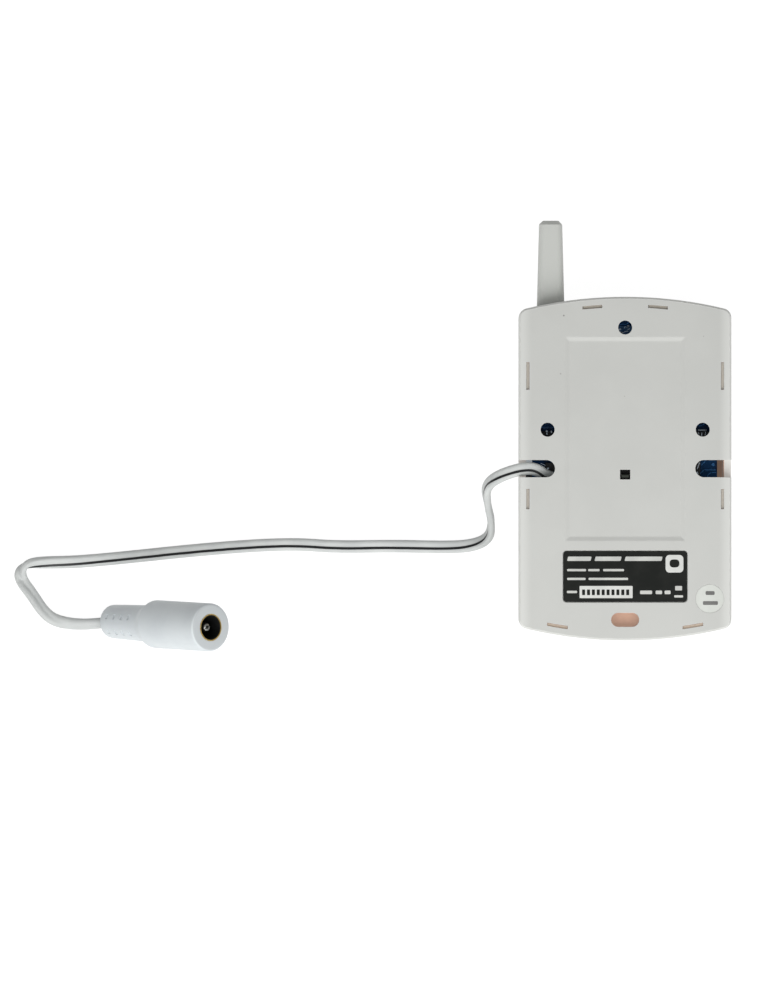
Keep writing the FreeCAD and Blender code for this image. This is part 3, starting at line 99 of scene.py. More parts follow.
# %% The lead's route
# x, y, z in millimetres, and the roll in degrees
LEAD_ROUTE = [
    (-15.4, -11.315, 12.2, 0), (-18.0, -11.315, 12.2, 0), (-21.0, -8.9, 14.0, 0),
    (-25.0, -9.1, 14.7, 0), (-30.3, -11.0, 13.3, -15), (-32.9, -13.4, 9.8, -62),
    (-32.3, -17.5, 5.8, -95), (-31.2, -21.9, 2.3, -95), (-32.0, -25.6, 1.42, -50),
    (-36.2, -27.3, 1.0, -12), (-43.2, -27.55, 0.85, 0), (-54.0, -27.25, 0.85, 0),
    (-68.0, -27.5, 0.85, 0), (-77.0, -26.8, 0.85, 0), (-88.0, -27.15, 0.85, 0),
    (-103.0, -28.4, 0.85, 0), (-118.5, -30.05, 0.85, 0), (-129.5, -31.05, 0.85, 12),
    (-137.0, -31.15, 0.85, 30), (-141.0, -31.35, 0.85, 70), (-142.65, -32.95, 0.85, 125),
    (-142.7, -35.2, 0.85, 185), (-140.0, -38.7, 0.85, 212), (-137.6, -42.4, 0.85, 208),
    (-135.1, -44.7, 0.85, 186), (-131.5, -45.6, 0.85, 162), (-128.0, -45.8, 1.12, 148),
    (-125.3, -45.65, 1.15, 145), (-123.1, -45.45, 1.15, 145), (-121.93, -45.15, 1.203, 145),
    (-121.3, -45.06, 1.98, 145),
]
POINTS_PER_SPAN = 12


def spline_points(points):
    """The points of a smooth spline whose control points are given."""
    curve = bpy.data.curves.new("guide", "CURVE")
    curve.dimensions = "3D"
    spline = curve.splines.new("NURBS")
    spline.points.add(len(points) - 1)
    for control, point in zip(spline.points, points):
        control.co = (*point, 1.0)
    spline.order_u = 3
    spline.use_endpoint_u = True
    spline.resolution_u = POINTS_PER_SPAN
    guide = bpy.data.objects.new("guide", curve)
    mesh = bpy.data.meshes.new_from_object(guide)
    line = [vertex.co.copy() for vertex in mesh.vertices]
    bpy.data.objects.remove(guide)
    bpy.data.curves.remove(curve)
    bpy.data.meshes.remove(mesh)
    return line


lead_line = spline_points([Vector(point[:3]) * MM for point in LEAD_ROUTE])
lead_rolls = [point.x for point in spline_points([(math.radians(p[3]), 0, 0) for p in LEAD_ROUTE])]
print("lead", len(lead_line), "points")

# %% [markdown]
# Across, the cord is two conductors grown together under one sheath, with a shallow valley in the
# printed face and a groove in the other. A curve with a bevel could carry one section, but not one
# that changes on the way. So the section is a ring of corners of its own at each point of the line.
# Towards the socket the ring turns into a plain oval, where the photograph shows a smooth sheath.
# A cord on its edge stands higher than one that lies flat, so the line is lifted until each ring
# rests on the floor.

# %% The lead's section
CORD_WIDTH = 3.0 * MM
CORD_THICKNESS = 1.7 * MM
CORD_VALLEY = 0.09 * MM
CORD_GROOVE = 0.2 * MM
CORD_SQUARENESS = 2.6
SECTION_STEPS = 48
OVAL_WIDTH, OVAL_THICKNESS = 2.9 * MM, 1.9 * MM
OVAL_FROM, OVAL_TO = 0.74, 0.86


def cord_section():
    """Corners around the cord, across its width and up, from the middle of its right side."""
    half_thick = CORD_THICKNESS / 2
    core = CORD_WIDTH / 2 - half_thick
    corners = []
    for step in range(SECTION_STEPS):
        turn = 2 * math.pi * step / SECTION_STEPS
        across = CORD_WIDTH / 2 * math.cos(turn)
        if abs(across) > core:
            share = min((abs(across) - core) / half_thick, 1)
            height = half_thick * (1 - share ** CORD_SQUARENESS) ** (1 / CORD_SQUARENESS)
        else:
            valley = CORD_VALLEY if turn < math.pi else CORD_GROOVE
            height = half_thick - valley * (1 - (across / core) ** 2) ** 2
        corners.append((across, math.copysign(height, math.sin(turn))))
    return corners


def section_at(share):
    """The section at a share of the way from the case to the socket."""
    blend = min(max((share - OVAL_FROM) / (OVAL_TO - OVAL_FROM), 0), 1)
    corners = []
    for step, (across, height) in enumerate(cord_section()):
        turn = 2 * math.pi * step / SECTION_STEPS
        oval = (OVAL_WIDTH / 2 * math.cos(turn), OVAL_THICKNESS / 2 * math.sin(turn))
        corners.append((across + (oval[0] - across) * blend, height + (oval[1] - height) * blend))
    return corners


def rest_on_floor(line, rolls, sections):
    """Lifts the points where the rolled section would reach below the floor."""
    lifted = []
    for point, roll, section in zip(line, rolls, sections):
        depth = max(-a * math.sin(roll) - b * math.cos(roll) for a, b in section)
        lifted.append(Vector((point.x, point.y, max(point.z, depth))))
    return lifted


lead_sections = [section_at(index / (len(lead_line) - 1)) for index in range(len(lead_line))]
lead_line = rest_on_floor(lead_line, lead_rolls, lead_sections)

# %% [markdown]
# The rings are joined to a tube, with each face's corners in the order that makes it point outwards.
# The faces carry a UV map: U runs once around the section and V along the length, so a printed line
# can follow the cord. The line will lie on one side only, which is why it vanishes where the cord has
# turned over.

# %% The lead's tube
def sweep(name, line, rolls, sections):
    """A closed tube along a line, with its own section and roll at each point."""
    count = SECTION_STEPS
    verts, faces, uvs = [], [], []
    up = Vector((0, 0, 1))
    for index, point in enumerate(line):
        ahead = line[min(index + 1, len(line) - 1)] - line[max(index - 1, 0)]
        right = ahead.cross(up).normalized()
        above = right.cross(ahead).normalized()
        across = right * math.cos(rolls[index]) + above * math.sin(rolls[index])
        outward = above * math.cos(rolls[index]) - right * math.sin(rolls[index])
        verts += [point + across * a + outward * b for a, b in sections[index]]
    for ring in range(len(line) - 1):
        for step in range(count):
            following = (step + 1) % count
            faces.append((ring * count + step, (ring + 1) * count + step,
                          (ring + 1) * count + following, ring * count + following))
            u, u_next = step / count, (step + 1) / count
            v, v_next = ring / len(line), (ring + 1) / len(line)
            uvs += [(u, v), (u, v_next), (u_next, v_next), (u_next, v)]
    last = (len(line) - 1) * count
    faces += [tuple(range(count)), tuple(reversed(range(last, last + count)))]
    uvs += [(0.0, 0.0)] * (2 * count)
    mesh = bpy.data.meshes.new(name)
    mesh.from_pydata(verts, [], faces)
    layer = mesh.uv_layers.new(name="around")
    for loop, uv in zip(layer.data, uvs):
        loop.uv = uv
    piece = bpy.data.objects.new(name, mesh)
    bpy.context.scene.collection.objects.link(piece)
    return piece


lead = sweep("lead", lead_line, lead_rolls, lead_sections)
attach(lead, "housing")
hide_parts("power_lead")
print("lead", len(lead.data.polygons), "faces")

# %% [markdown]
# Modelling starts from a primitive or a CAD shape and goes on with operators. These helpers keep the
# steps short. An operator acts on all that is selected, so each step first clears the selection and
# then picks what it needs.

# %% Modelling helpers


def deselect_everything():
    for thing in bpy.context.view_layer.objects:
        thing.select_set(False)


def activate(piece):
    deselect_everything()
    piece.select_set(True)
    bpy.context.view_layer.objects.active = piece


def settle(piece):
    """Puts the object's place into its mesh and the object at the origin."""
    activate(piece)
    bpy.ops.object.transform_apply(location=True, rotation=True, scale=True)


def merge(piece, distance=0.001 * MM):
    """Merges doubled corners and points every face outwards."""
    activate(piece)
    bpy.ops.object.mode_set(mode="EDIT")
    bpy.ops.mesh.select_all(action="SELECT")
    bpy.ops.mesh.remove_doubles(threshold=distance)
    bpy.ops.mesh.normals_make_consistent(inside=False)
    bpy.ops.object.mode_set(mode="OBJECT")


def smooth(piece, degrees=35):
    activate(piece)
    bpy.ops.object.shade_smooth_by_angle(angle=math.radians(degrees))


def round_edges(piece, width, segments=2, degrees=30):
    """Rounds every edge sharper than an angle."""
    bevel = piece.modifiers.new("soft edges", "BEVEL")
    bevel.width = width
    bevel.segments = segments
    bevel.limit_method = "ANGLE"
    bevel.angle_limit = math.radians(degrees)
    activate(piece)
    bpy.ops.object.modifier_apply(modifier=bevel.name)


def bevel_where(piece, test, width, segments):
    """Bevels only the edges whose two ends pass a test of their places."""
    activate(piece)
    for items in (piece.data.polygons, piece.data.edges, piece.data.vertices):
        for item in items:
            item.select = False
    for edge in piece.data.edges:
        edge.select = test(*(piece.data.vertices[number].co for number in edge.vertices))
    bpy.ops.object.mode_set(mode="EDIT")
    bpy.ops.mesh.select_mode(type="EDGE")
    bpy.ops.mesh.bevel(offset=width, segments=segments, affect="EDGES")
    bpy.ops.object.mode_set(mode="OBJECT")


print("helpers ready")

# %% [markdown]
# Colours are measured on a screen, so they are written as the screen shows them, from 0 to 255,
# and turned into the linear numbers that light works with. Materials could be wired by hand in
# the shader editor. Here short helpers add and link the nodes, so that each finish reads like a recipe.
# Most finishes mix close tones, because no real surface has one colour.

# %% Colour and node helpers


def screen_colour(red, green, blue):
    def linear(level):
        level = level / 255
        return level / 12.92 if level <= 0.04045 else ((level + 0.055) / 1.055) ** 2.4
    return (linear(red), linear(green), linear(blue), 1.0)


def add_node(tree, kind, **settings):
    """A node with settings; a setting named in_NUMBER or in_Name sets an input."""
    node = tree.nodes.new(kind)
    for key, content in settings.items():
        if key.startswith("in_"):
            socket = key[3:]
            node.inputs[int(socket) if socket.isdigit() else socket].default_value = content
        else:
            setattr(node, key, content)
    return node


def link(tree, source, target):
    tree.links.new(source, target)


def new_material(name, **shader):
    """A material with one Principled shader; names of its inputs set their values."""
    material = bpy.data.materials.new(name)
    material.use_nodes = True
    principled = material.node_tree.nodes["Principled BSDF"]
    for socket, content in shader.items():
        principled.inputs[socket.replace("_", " ")].default_value = content
    return material, material.node_tree, principled


def object_place(tree):
    return add_node(tree, "ShaderNodeTexCoord").outputs["Object"]


def mix_colour(tree, factor, first, second):
    """Mixes two colours; each of the three may be a value or a socket."""
    node = add_node(tree, "ShaderNodeMix", data_type="RGBA")
    for number, content in ((0, factor), (6, first), (7, second)):
        if isinstance(content, bpy.types.NodeSocket):
            link(tree, content, node.inputs[number])
        else:
            node.inputs[number].default_value = content
    return node.outputs[2]


print("colour helpers ready")

# %% [markdown]
# Where a tone changes within one piece, a mask tells the places apart. A mask is a number from 0 to 1,
# worked out from the place by a few sums. A ramp gives it a soft edge, and a comparison a hard one.

# %% Mask helpers


def math_node(tree, operation, first, second=0.0, third=0.0):
    node = add_node(tree, "ShaderNodeMath", operation=operation)
    for number, content in enumerate((first, second, third)):
        if isinstance(content, bpy.types.NodeSocket):
            link(tree, content, node.inputs[number])
        else:
            node.inputs[number].default_value = content
    return node.outputs[0]


def ramp(tree, factor, low, high):
    """0 below low, 1 above high, and smooth between."""
    node = add_node(tree, "ShaderNodeMapRange", interpolation_type="SMOOTHSTEP")
    node.inputs["From Min"].default_value = low
    node.inputs["From Max"].default_value = high
    link(tree, factor, node.inputs["Value"])
    return node.outputs["Result"]


def over(tree, content, limit):
    """A mask: 1 where a value lies over a limit."""
    return math_node(tree, "GREATER_THAN", content, limit)


def under(tree, content, limit):
    return math_node(tree, "LESS_THAN", content, limit)


def all_of(tree, mask, *others):
    """A mask of where all the given ones hold."""
    for other in others:
        mask = math_node(tree, "MULTIPLY", mask, other)
    return mask


def add_linked(tree, kind, source, **settings):
    """A node whose first input is fed by a source."""
    node = add_node(tree, kind, **settings)
    link(tree, source, node.inputs[0])
    return node


def axes_of(tree, place):
    """The three coordinates of a place, each as a socket."""
    return tuple(add_linked(tree, "ShaderNodeSeparateXYZ", place).outputs)


print("mask helpers ready")

# %% [markdown]
# Three effects appear in more than one finish, so each is a node group that is built once. The first
# is the skin of moulded plastic: a fine spark-eroded grain and very faint clouds of tone. The grain is
# noise with small Voronoi pits, which looks less regular than either alone.

# %% Shared effect: moulded grain


def new_group(name, inputs, outputs):
    group = bpy.data.node_groups.new(name, "ShaderNodeTree")
    for label, kind, content in inputs:
        socket = group.interface.new_socket(label, in_out="INPUT", socket_type=kind)
        if content is not None:
            socket.default_value = content
    for label, kind in outputs:
        group.interface.new_socket(label, in_out="OUTPUT", socket_type=kind)
    return group, add_node(group, "NodeGroupInput"), add_node(group, "NodeGroupOutput")


def build_grain():
    """Height for a bump, and a tone from 0 to 1 for the colour."""
    group, inside, outside = new_group(
        "moulded grain",
        [("Place", "NodeSocketVector", None), ("Grain Scale", "NodeSocketFloat", 4500.0),
         ("Cloud Scale", "NodeSocketFloat", 60.0)],
        [("Height", "NodeSocketFloat"), ("Tone", "NodeSocketFloat")])
    fine = add_node(group, "ShaderNodeTexNoise", in_Detail=3.0, in_Roughness=0.6)
    pits = add_node(group, "ShaderNodeTexVoronoi", feature="F1")
    clouds = add_node(group, "ShaderNodeTexNoise", in_Detail=4.0, in_Roughness=0.55)
    for texture in (fine, pits, clouds):
        link(group, inside.outputs["Place"], texture.inputs["Vector"])
    link(group, inside.outputs["Grain Scale"], fine.inputs["Scale"])
    link(group, inside.outputs["Grain Scale"], pits.inputs["Scale"])
    link(group, inside.outputs["Cloud Scale"], clouds.inputs["Scale"])
    height = math_node(group, "MULTIPLY_ADD", pits.outputs["Distance"], 0.4, fine.outputs["Fac"])
    link(group, height, outside.inputs["Height"])
    link(group, ramp(group, clouds.outputs["Fac"], 0.35, 0.68), outside.inputs["Tone"])
    return group


grain_group = build_grain()
print("effect", grain_group.name)

# %% [markdown]
# Handled edges rub a little brighter, and the same mask also paints a highlight on the edges, where a
# rounded edge catches light. A painted map would need the edges found by hand. Here a normal
# that is rounded over a small radius is set against the real one: only near an edge do the two differ.

# %% Shared effect: edge wear


def build_edge_wear_and_highlight():
    """A mask of rubbed edges and painted edge highlights, where a rounded normal would differ from the real
    one, broken up by noise.
    """
    group, inside, outside = new_group(
        "edge wear and painted highlight",
        [("Place", "NodeSocketVector", None), ("Amount", "NodeSocketFloat", 0.5)],
        [("Mask", "NodeSocketFloat")])
    geometry = add_node(group, "ShaderNodeNewGeometry")
    rounded = add_node(group, "ShaderNodeBevel", samples=4, in_Radius=0.35 * MM)
    likeness = add_node(group, "ShaderNodeVectorMath", operation="DOT_PRODUCT")
    link(group, geometry.outputs["Normal"], likeness.inputs[0])
    link(group, rounded.outputs["Normal"], likeness.inputs[1])
    patches = add_node(group, "ShaderNodeTexNoise", in_Scale=900.0, in_Detail=5.0)
    link(group, inside.outputs["Place"], patches.inputs["Vector"])
    edges = ramp(group, math_node(group, "SUBTRACT", 1.0, likeness.outputs["Value"]), 0.01, 0.12)
    broken = math_node(group, "MULTIPLY", edges, patches.outputs["Fac"])
    link(group, math_node(group, "MULTIPLY", broken, inside.outputs["Amount"]), outside.inputs["Mask"])
    return group


wear_and_highlight_group = build_edge_wear_and_highlight()
print("effect", wear_and_highlight_group.name)

# %% [markdown]
# Dust and specks of dirt settle as small dots. Noise would give smears, so each dot sits in its own cell
# of a Voronoi pattern, and a random number for each cell leaves most of them empty.

# %% Shared effect: specks
EMPTY_CELLS = 0.72


def build_specks():
    """A mask of rare small dots, such as dust or black specks in the plastic."""
    group, inside, outside = new_group(
        "specks",
        [("Place", "NodeSocketVector", None), ("Cell Scale", "NodeSocketFloat", 220.0),
         ("Dot Size", "NodeSocketFloat", 0.03)],
        [("Mask", "NodeSocketFloat")])
    cells = add_node(group, "ShaderNodeTexVoronoi", feature="F1")
    choice = add_node(group, "ShaderNodeTexWhiteNoise")
    link(group, inside.outputs["Place"], cells.inputs["Vector"])
    link(group, inside.outputs["Cell Scale"], cells.inputs["Scale"])
    link(group, cells.outputs["Position"], choice.inputs["Vector"])
    dot = math_node(group, "LESS_THAN", cells.outputs["Distance"], inside.outputs["Dot Size"])
    rare = math_node(group, "GREATER_THAN", choice.outputs["Value"], EMPTY_CELLS)
    link(group, math_node(group, "MULTIPLY", dot, rare), outside.inputs["Mask"])
    return group


speck_group = build_specks()
print("effect", speck_group.name, "with", EMPTY_CELLS, "of its cells empty")

# %% [markdown]
# A group is used in a finish by one short call, and so is a bump, the shading of small heights that
# need no mesh. Both helpers take the material's own tree, so that a finish still shows all its parts.

# %% Using an effect


def use_group(tree, group, place, **values):
    node = add_node(tree, "ShaderNodeGroup", node_tree=group)
    link(tree, place, node.inputs["Place"])
    for label, content in values.items():
        node.inputs[label.replace("_", " ")].default_value = content
    return node


def bump(tree, principled, height, strength, depth):
    node = add_node(tree, "ShaderNodeBump", in_Strength=strength, in_Distance=depth)
    link(tree, height, node.inputs["Height"])
    link(tree, node.outputs["Normal"], principled.inputs["Normal"])


print(len(bpy.data.node_groups), "effects ready")

# %% [markdown]
# The case is matte ABS, a warm light grey. One flat colour would look like card, so the grain is a
# bump, clouds shift the tone a little, edges are rubbed and painted lighter, partly as a painted
# highlight, and a few specks lie on it. The first two are one helper and the last two another, because
# most finishes here need only the first. The antenna is the plainest of the three pieces in this
# plastic, so it comes first.

# %% Case plastic
CASE_COLOUR = screen_colour(206, 207, 203)
CASE_SHADE = screen_colour(203, 204, 200)
RUBBED_AND_HIGHLIGHT_COLOUR = (0.82, 0.82, 0.80, 1.0)
SPECK_COLOUR = screen_colour(120, 112, 104)
SPECK_STRENGTH = 0.35


def grained(tree, principled, grain_scale=4500.0, cloud_scale=60.0, strength=0.35, depth=0.012 * MM):
    """Adds the moulded grain as a bump, and gives the place and the tone of the clouds."""
    place = object_place(tree)
    grain = use_group(tree, grain_group, place, Grain_Scale=grain_scale, Cloud_Scale=cloud_scale)
    bump(tree, principled, grain.outputs["Height"], strength, depth)
    return place, grain.outputs["Tone"]


def worn_and_edge_lit(tree, place, base):
    """A base colour with rubbed edges, partly a painted edge highlight, and specks."""
    wear = use_group(tree, wear_and_highlight_group, place, Amount=0.6)
    specks = use_group(tree, speck_group, place, Cell_Scale=160.0, Dot_Size=0.022)
    # The edges are painted lighter: partly wear, partly a painted highlight where the edges catch light.
    rubbed = mix_colour(tree, wear.outputs["Mask"], base, RUBBED_AND_HIGHLIGHT_COLOUR)
    dirt = math_node(tree, "MULTIPLY", specks.outputs["Mask"], SPECK_STRENGTH)
    return mix_colour(tree, dirt, rubbed, SPECK_COLOUR)


antenna_plastic, tree, principled = new_material("antenna plastic", Roughness=0.5, Specular_IOR_Level=0.35)
place, tone = grained(tree, principled)
# These tones are a little lighter than the case's, as painted light against the shade the antenna gets beside
# the case.
colour = mix_colour(tree, tone, screen_colour(207, 209, 204), screen_colour(210, 212, 207))
link(tree, worn_and_edge_lit(tree, place, colour), principled.inputs["Base Color"])
print("antenna plastic ready")

# %% [markdown]
# The back cover's rims along its sides are painted lighter, as painted light, and the rounded edge of
# its far end is painted lighter again, as a painted highlight on that slope. Two dark flecks were
# moulded in. An image could be painted for this, but masks made from the piece's own coordinates stay
# sharp at any size. The far end is an arc of a large circle, so the distance from that circle's middle
# tells what lies on the edge.

# %% Painted light and flecks of the back cover
RIM_PAINTED_LIGHT = screen_colour(218, 219, 215)
RIM_FROM, RIM_TO = 21.8 * MM, 24.4 * MM
FAR_EDGE_PAINTED_LIGHT = screen_colour(226, 227, 223)
END_RADIUS = 100.0 * MM
FLECK_COLOUR = screen_colour(96, 92, 88)
FLECK_CORE, FLECK_REACH = 0.12 * MM, 0.24 * MM
# x and y in millimetres, and strength
FLECKS = [(-14.45, 27.0, 0.7), (-15.2, 13.3, 0.35)]
back_low, back_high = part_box("back_cover")


def distance_from(tree, place, x, y):
    """Distance across the floor from a point."""
    flat = add_linked(tree, "ShaderNodeVectorMath", place, operation="MULTIPLY", in_1=(1, 1, 0))
    return add_linked(tree, "ShaderNodeVectorMath", flat.outputs[0], operation="DISTANCE",
                      in_1=(x, y, 0)).outputs["Value"]


case_plastic, tree, principled = new_material("case plastic", Roughness=0.52, Specular_IOR_Level=0.35)
place, tone = grained(tree, principled)
x, y, z = axes_of(tree, place)
# Painted light: the rims along the sides are lighter.
rim = ramp(tree, math_node(tree, "ABSOLUTE", x), RIM_FROM, RIM_TO)
# Painted highlight: the rounded edge of the far end is lighter still.
far_reach = distance_from(tree, place, 0, back_high[1] - END_RADIUS)
far_edge_painted_light = all_of(tree, ramp(tree, far_reach, END_RADIUS - 0.7 * MM, END_RADIUS - 0.2 * MM),
                  ramp(tree, z, back_high[2] - 0.9 * MM, back_high[2] - 0.4 * MM))
colour = mix_colour(tree, tone, CASE_SHADE, CASE_COLOUR)
colour = mix_colour(tree, rim, colour, RIM_PAINTED_LIGHT)
colour = mix_colour(tree, far_edge_painted_light, colour, FAR_EDGE_PAINTED_LIGHT)
for fleck_x, fleck_y, strength in FLECKS:
    away = ramp(tree, distance_from(tree, place, fleck_x * MM, fleck_y * MM), FLECK_CORE, FLECK_REACH)
    fleck = math_node(tree, "MULTIPLY", math_node(tree, "SUBTRACT", 1.0, away), strength)
    colour = mix_colour(tree, fleck, colour, FLECK_COLOUR)
link(tree, worn_and_edge_lit(tree, place, colour), principled.inputs["Base Color"])
print("back cover with", len(FLECKS), "flecks")

# %% [markdown]
# The front cover is the piece behind the slots, the oblong hole and the notches. Its parts differ in
# painted light and shade, and separate materials would need the cover cut up. So masks from its own
# coordinates tell what is inside the walls, what is a hook, and what lies at the two notches.

# %% Masks of the front cover
INNER_FACE = 1.65 * MM
INSIDE_FROM = 2.1 * MM
HOOKS_FROM = 12.8 * MM
WALL_TOP = 12.2 * MM
NOTCH_MIDDLE, NOTCH_HALF = -9.0 * MM, 2.6 * MM
NOTCH_FROM = 21.5 * MM

front_plastic, tree, principled = new_material("front cover plastic", Roughness=0.5, Specular_IOR_Level=0.35)
place, tone = grained(tree, principled)
x, y, z = axes_of(tree, place)
sideways = math_node(tree, "ABSOLUTE", x)
far_reach = distance_from(tree, place, 0, back_high[1] - END_RADIUS)
near_reach = distance_from(tree, place, 0, back_low[1] + END_RADIUS)
inside = all_of(tree, under(tree, sideways, back_high[0] - INNER_FACE), over(tree, z, INSIDE_FROM),
                under(tree, far_reach, END_RADIUS - INNER_FACE),
                under(tree, near_reach, END_RADIUS - INNER_FACE))
hooks = over(tree, z, HOOKS_FROM)
off_notch = math_node(tree, "ABSOLUTE", math_node(tree, "SUBTRACT", y, NOTCH_MIDDLE))
notch = all_of(tree, under(tree, off_notch, NOTCH_HALF), over(tree, sideways, NOTCH_FROM))
right = over(tree, x, 0.0)
above_lead = over(tree, y, NOTCH_MIDDLE)
left_strip = all_of(tree, math_node(tree, "SUBTRACT", 1.0, right), notch, inside)
print("front cover: inside from", round((back_high[0] - INNER_FACE) * 1000, 2), "mm inwards")

# %% [markdown]
# Seen through the slots, the inner walls look tan, because daylight that crossed thin plastic several
# times comes out warmer. Real scattering in such thin walls would take long to render. So this is
# painted light: the inside and the hooks get warm base colours, and the inside glows faintly, with the
# tone that shows at each place. Only the camera sees these glowing tones. To all other rays the inside
# gives plain daylight, which lights the board.

# %% Painted light and shade inside the front cover
NO_LIGHT = (0.0, 0.0, 0.0, 1.0)
INSIDE_PAINTED_WARMTH, HOOK_PAINTED_WARMTH = screen_colour(214, 170, 146), screen_colour(184, 176, 164)
SEEPING_LIGHT = screen_colour(212, 172, 150)
HOOK_LIGHT, NEAR_HOOK_LIGHT = screen_colour(122, 120, 118), screen_colour(168, 128, 98)
WALL_LIGHT = screen_colour(206, 196, 190)
LEFT_LIGHT, RIGHT_LIGHT = screen_colour(190, 192, 188), screen_colour(98, 78, 40)
PAINTED_SHADE_BELOW_LEAD = screen_colour(40, 34, 30)
INNER_DAYLIGHT = screen_colour(185, 205, 228)
GLOW_STRENGTH = 0.35

outer_colour = mix_colour(tree, tone, CASE_SHADE, CASE_COLOUR)
# The warm tan of the inside and the hooks is painted light from the thin walls.
inner_painted_warmth = mix_colour(tree, hooks, INSIDE_PAINTED_WARMTH, HOOK_PAINTED_WARMTH)
# Painted shade: in the left notch the wall below the lead is dark, where the lead shades it.
left_notch_shade = mix_colour(tree, above_lead, PAINTED_SHADE_BELOW_LEAD, CASE_COLOUR)
walls = mix_colour(tree, inside, outer_colour, inner_painted_warmth)
link(tree, mix_colour(tree, left_strip, walls, left_notch_shade), principled.inputs["Base Color"])

# Painted light: the inside, the hooks and the notch walls glow faintly.
deep_light = mix_colour(tree, ramp(tree, z, 1.0 * MM, 14.0 * MM), NO_LIGHT, SEEPING_LIGHT)
near_light = mix_colour(tree, ramp(tree, y, -40.0 * MM, -30.0 * MM), NEAR_HOOK_LIGHT, HOOK_LIGHT)
hook_light = mix_colour(tree, ramp(tree, y, 24.0 * MM, 28.0 * MM), near_light, NO_LIGHT)
seeping = mix_colour(tree, inside, NO_LIGHT, mix_colour(tree, hooks, deep_light, hook_light))
wall_light = mix_colour(tree, over(tree, z, WALL_TOP), NO_LIGHT, WALL_LIGHT)
left_light = mix_colour(tree, above_lead, NO_LIGHT, LEFT_LIGHT)
notch_light = mix_colour(tree, inside, wall_light, mix_colour(tree, right, left_light, RIGHT_LIGHT))
seen_light = mix_colour(tree, notch, seeping, notch_light)
daylight = mix_colour(tree, inside, NO_LIGHT, INNER_DAYLIGHT)
rays = add_node(tree, "ShaderNodeLightPath")
link(tree, mix_colour(tree, rays.outputs["Is Camera Ray"], daylight, seen_light),
     principled.inputs["Emission Color"])
principled.inputs["Emission Strength"].default_value = GLOW_STRENGTH
print("front cover glows at", GLOW_STRENGTH)

# %% [markdown]
# The covers come from the CAD model, whose edges are sharp. A mould never leaves a razor edge, and the
# thin bright line on a rounded edge is what tells the eye that a thing is plastic. So each cover is
# copied, its triangles are joined to flat faces again, and a small bevel runs around its edges. The
# slopes of the shallow recess are too gentle for that bevel's angle, so their edges are found by place.
# At the end the large flat faces decide the shading, so that only the bevels look round.

# %% Covers and antenna
COVER_EDGE = 0.16 * MM
ANTENNA_EDGE = 0.3 * MM
PANEL_EDGE = 0.2 * MM


def copy_of_node(node, name):
    """A new piece with a merged copy of a CAD node's mesh, which stands for that node."""
    mesh = nodes[node].data.copy()
    mesh.name = name
    mesh.materials.clear()
    piece = bpy.data.objects.new(name, mesh)
    bpy.context.scene.collection.objects.link(piece)
    activate(piece)
    bpy.ops.mesh.customdata_custom_splitnormals_clear()
    bpy.ops.object.mode_set(mode="EDIT")
    bpy.ops.mesh.select_all(action="SELECT")
    bpy.ops.mesh.remove_doubles(threshold=0.001 * MM)
    bpy.ops.mesh.dissolve_limited(angle_limit=math.radians(0.5))
    bpy.ops.object.mode_set(mode="OBJECT")
    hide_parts(node)
    return piece


def favour_large_faces(piece):
    """Large flat faces keep flat shading, and the small edge faces take all of the turn."""
    weighted = piece.modifiers.new("large faces first", "WEIGHTED_NORMAL")
    weighted.keep_sharp = True
    weighted.weight = 100
    activate(piece)
    bpy.ops.object.modifier_apply(modifier=weighted.name)


def is_panel_edge(*ends):
    """True for the long edges at the foot and the head of the recess's slopes."""
    return all(13.0 * MM < abs(end.x) < 14.2 * MM and -26.1 * MM < end.y < 22.0 * MM
               and end.z > back_high[2] - 0.4 * MM for end in ends)


for node, name, edge, material in (("back_cover", "back_shell", COVER_EDGE, case_plastic),
                                   ("front_cover", "front_shell", COVER_EDGE, front_plastic),
                                   ("antenna_sleeve", "antenna", ANTENNA_EDGE, antenna_plastic)):
    piece = copy_of_node(node, name)
    round_edges(piece, edge)
    if node == "back_cover":
        bevel_where(piece, is_panel_edge, PANEL_EDGE, 2)
    smooth(piece, 40)
    favour_large_faces(piece)
    piece.data.materials.append(material)
    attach(piece, "housing")
    print(name, len(piece.data.polygons), "faces")

# %% [markdown]
# The lead's sheath is smooth PVC, cooler and glossier than the case. One conductor is marked with a
# printed black line. A strip of mesh would lift off at the bends, so the line is a narrow band of U
# on the UV map, and it wanders a little, as a printed line does.

# %% Lead material
STRIPE_AT = -0.43 * MM
STRIPE_WIDTH = 0.62 * MM
STRIPE_WANDER = 0.004


def around_at(across):
    """U of a place across the cord's upper face."""
    return math.acos(across / (CORD_WIDTH / 2)) / (2 * math.pi)


lead_plastic, tree, principled = new_material("lead sheath", Roughness=0.38, Specular_IOR_Level=0.45)
place, tone = grained(tree, principled, 2500.0, 180.0, strength=0.12, depth=0.01 * MM)
uv_map = add_node(tree, "ShaderNodeUVMap", uv_map="around")
around = axes_of(tree, uv_map.outputs["UV"])[0]
stripe_middle = around_at(STRIPE_AT)
stripe_half = abs(around_at(STRIPE_AT - STRIPE_WIDTH / 2) - around_at(STRIPE_AT + STRIPE_WIDTH / 2)) / 2
wander = math_node(tree, "MULTIPLY_ADD", tone, STRIPE_WANDER, -STRIPE_WANDER / 2)
offset = math_node(tree, "SUBTRACT", math_node(tree, "ADD", around, wander), stripe_middle)
away = ramp(tree, math_node(tree, "ABSOLUTE", offset), stripe_half * 0.85, stripe_half * 1.1)
sheath = mix_colour(tree, tone, screen_colour(195, 198, 197), screen_colour(205, 208, 206))
link(tree, mix_colour(tree, away, screen_colour(24, 25, 27), sheath), principled.inputs["Base Color"])
lead.data.materials.append(lead_plastic)
smooth(lead, 60)
print("stripe from", round(stripe_middle - stripe_half, 3), "to", round(stripe_middle + stripe_half, 3))

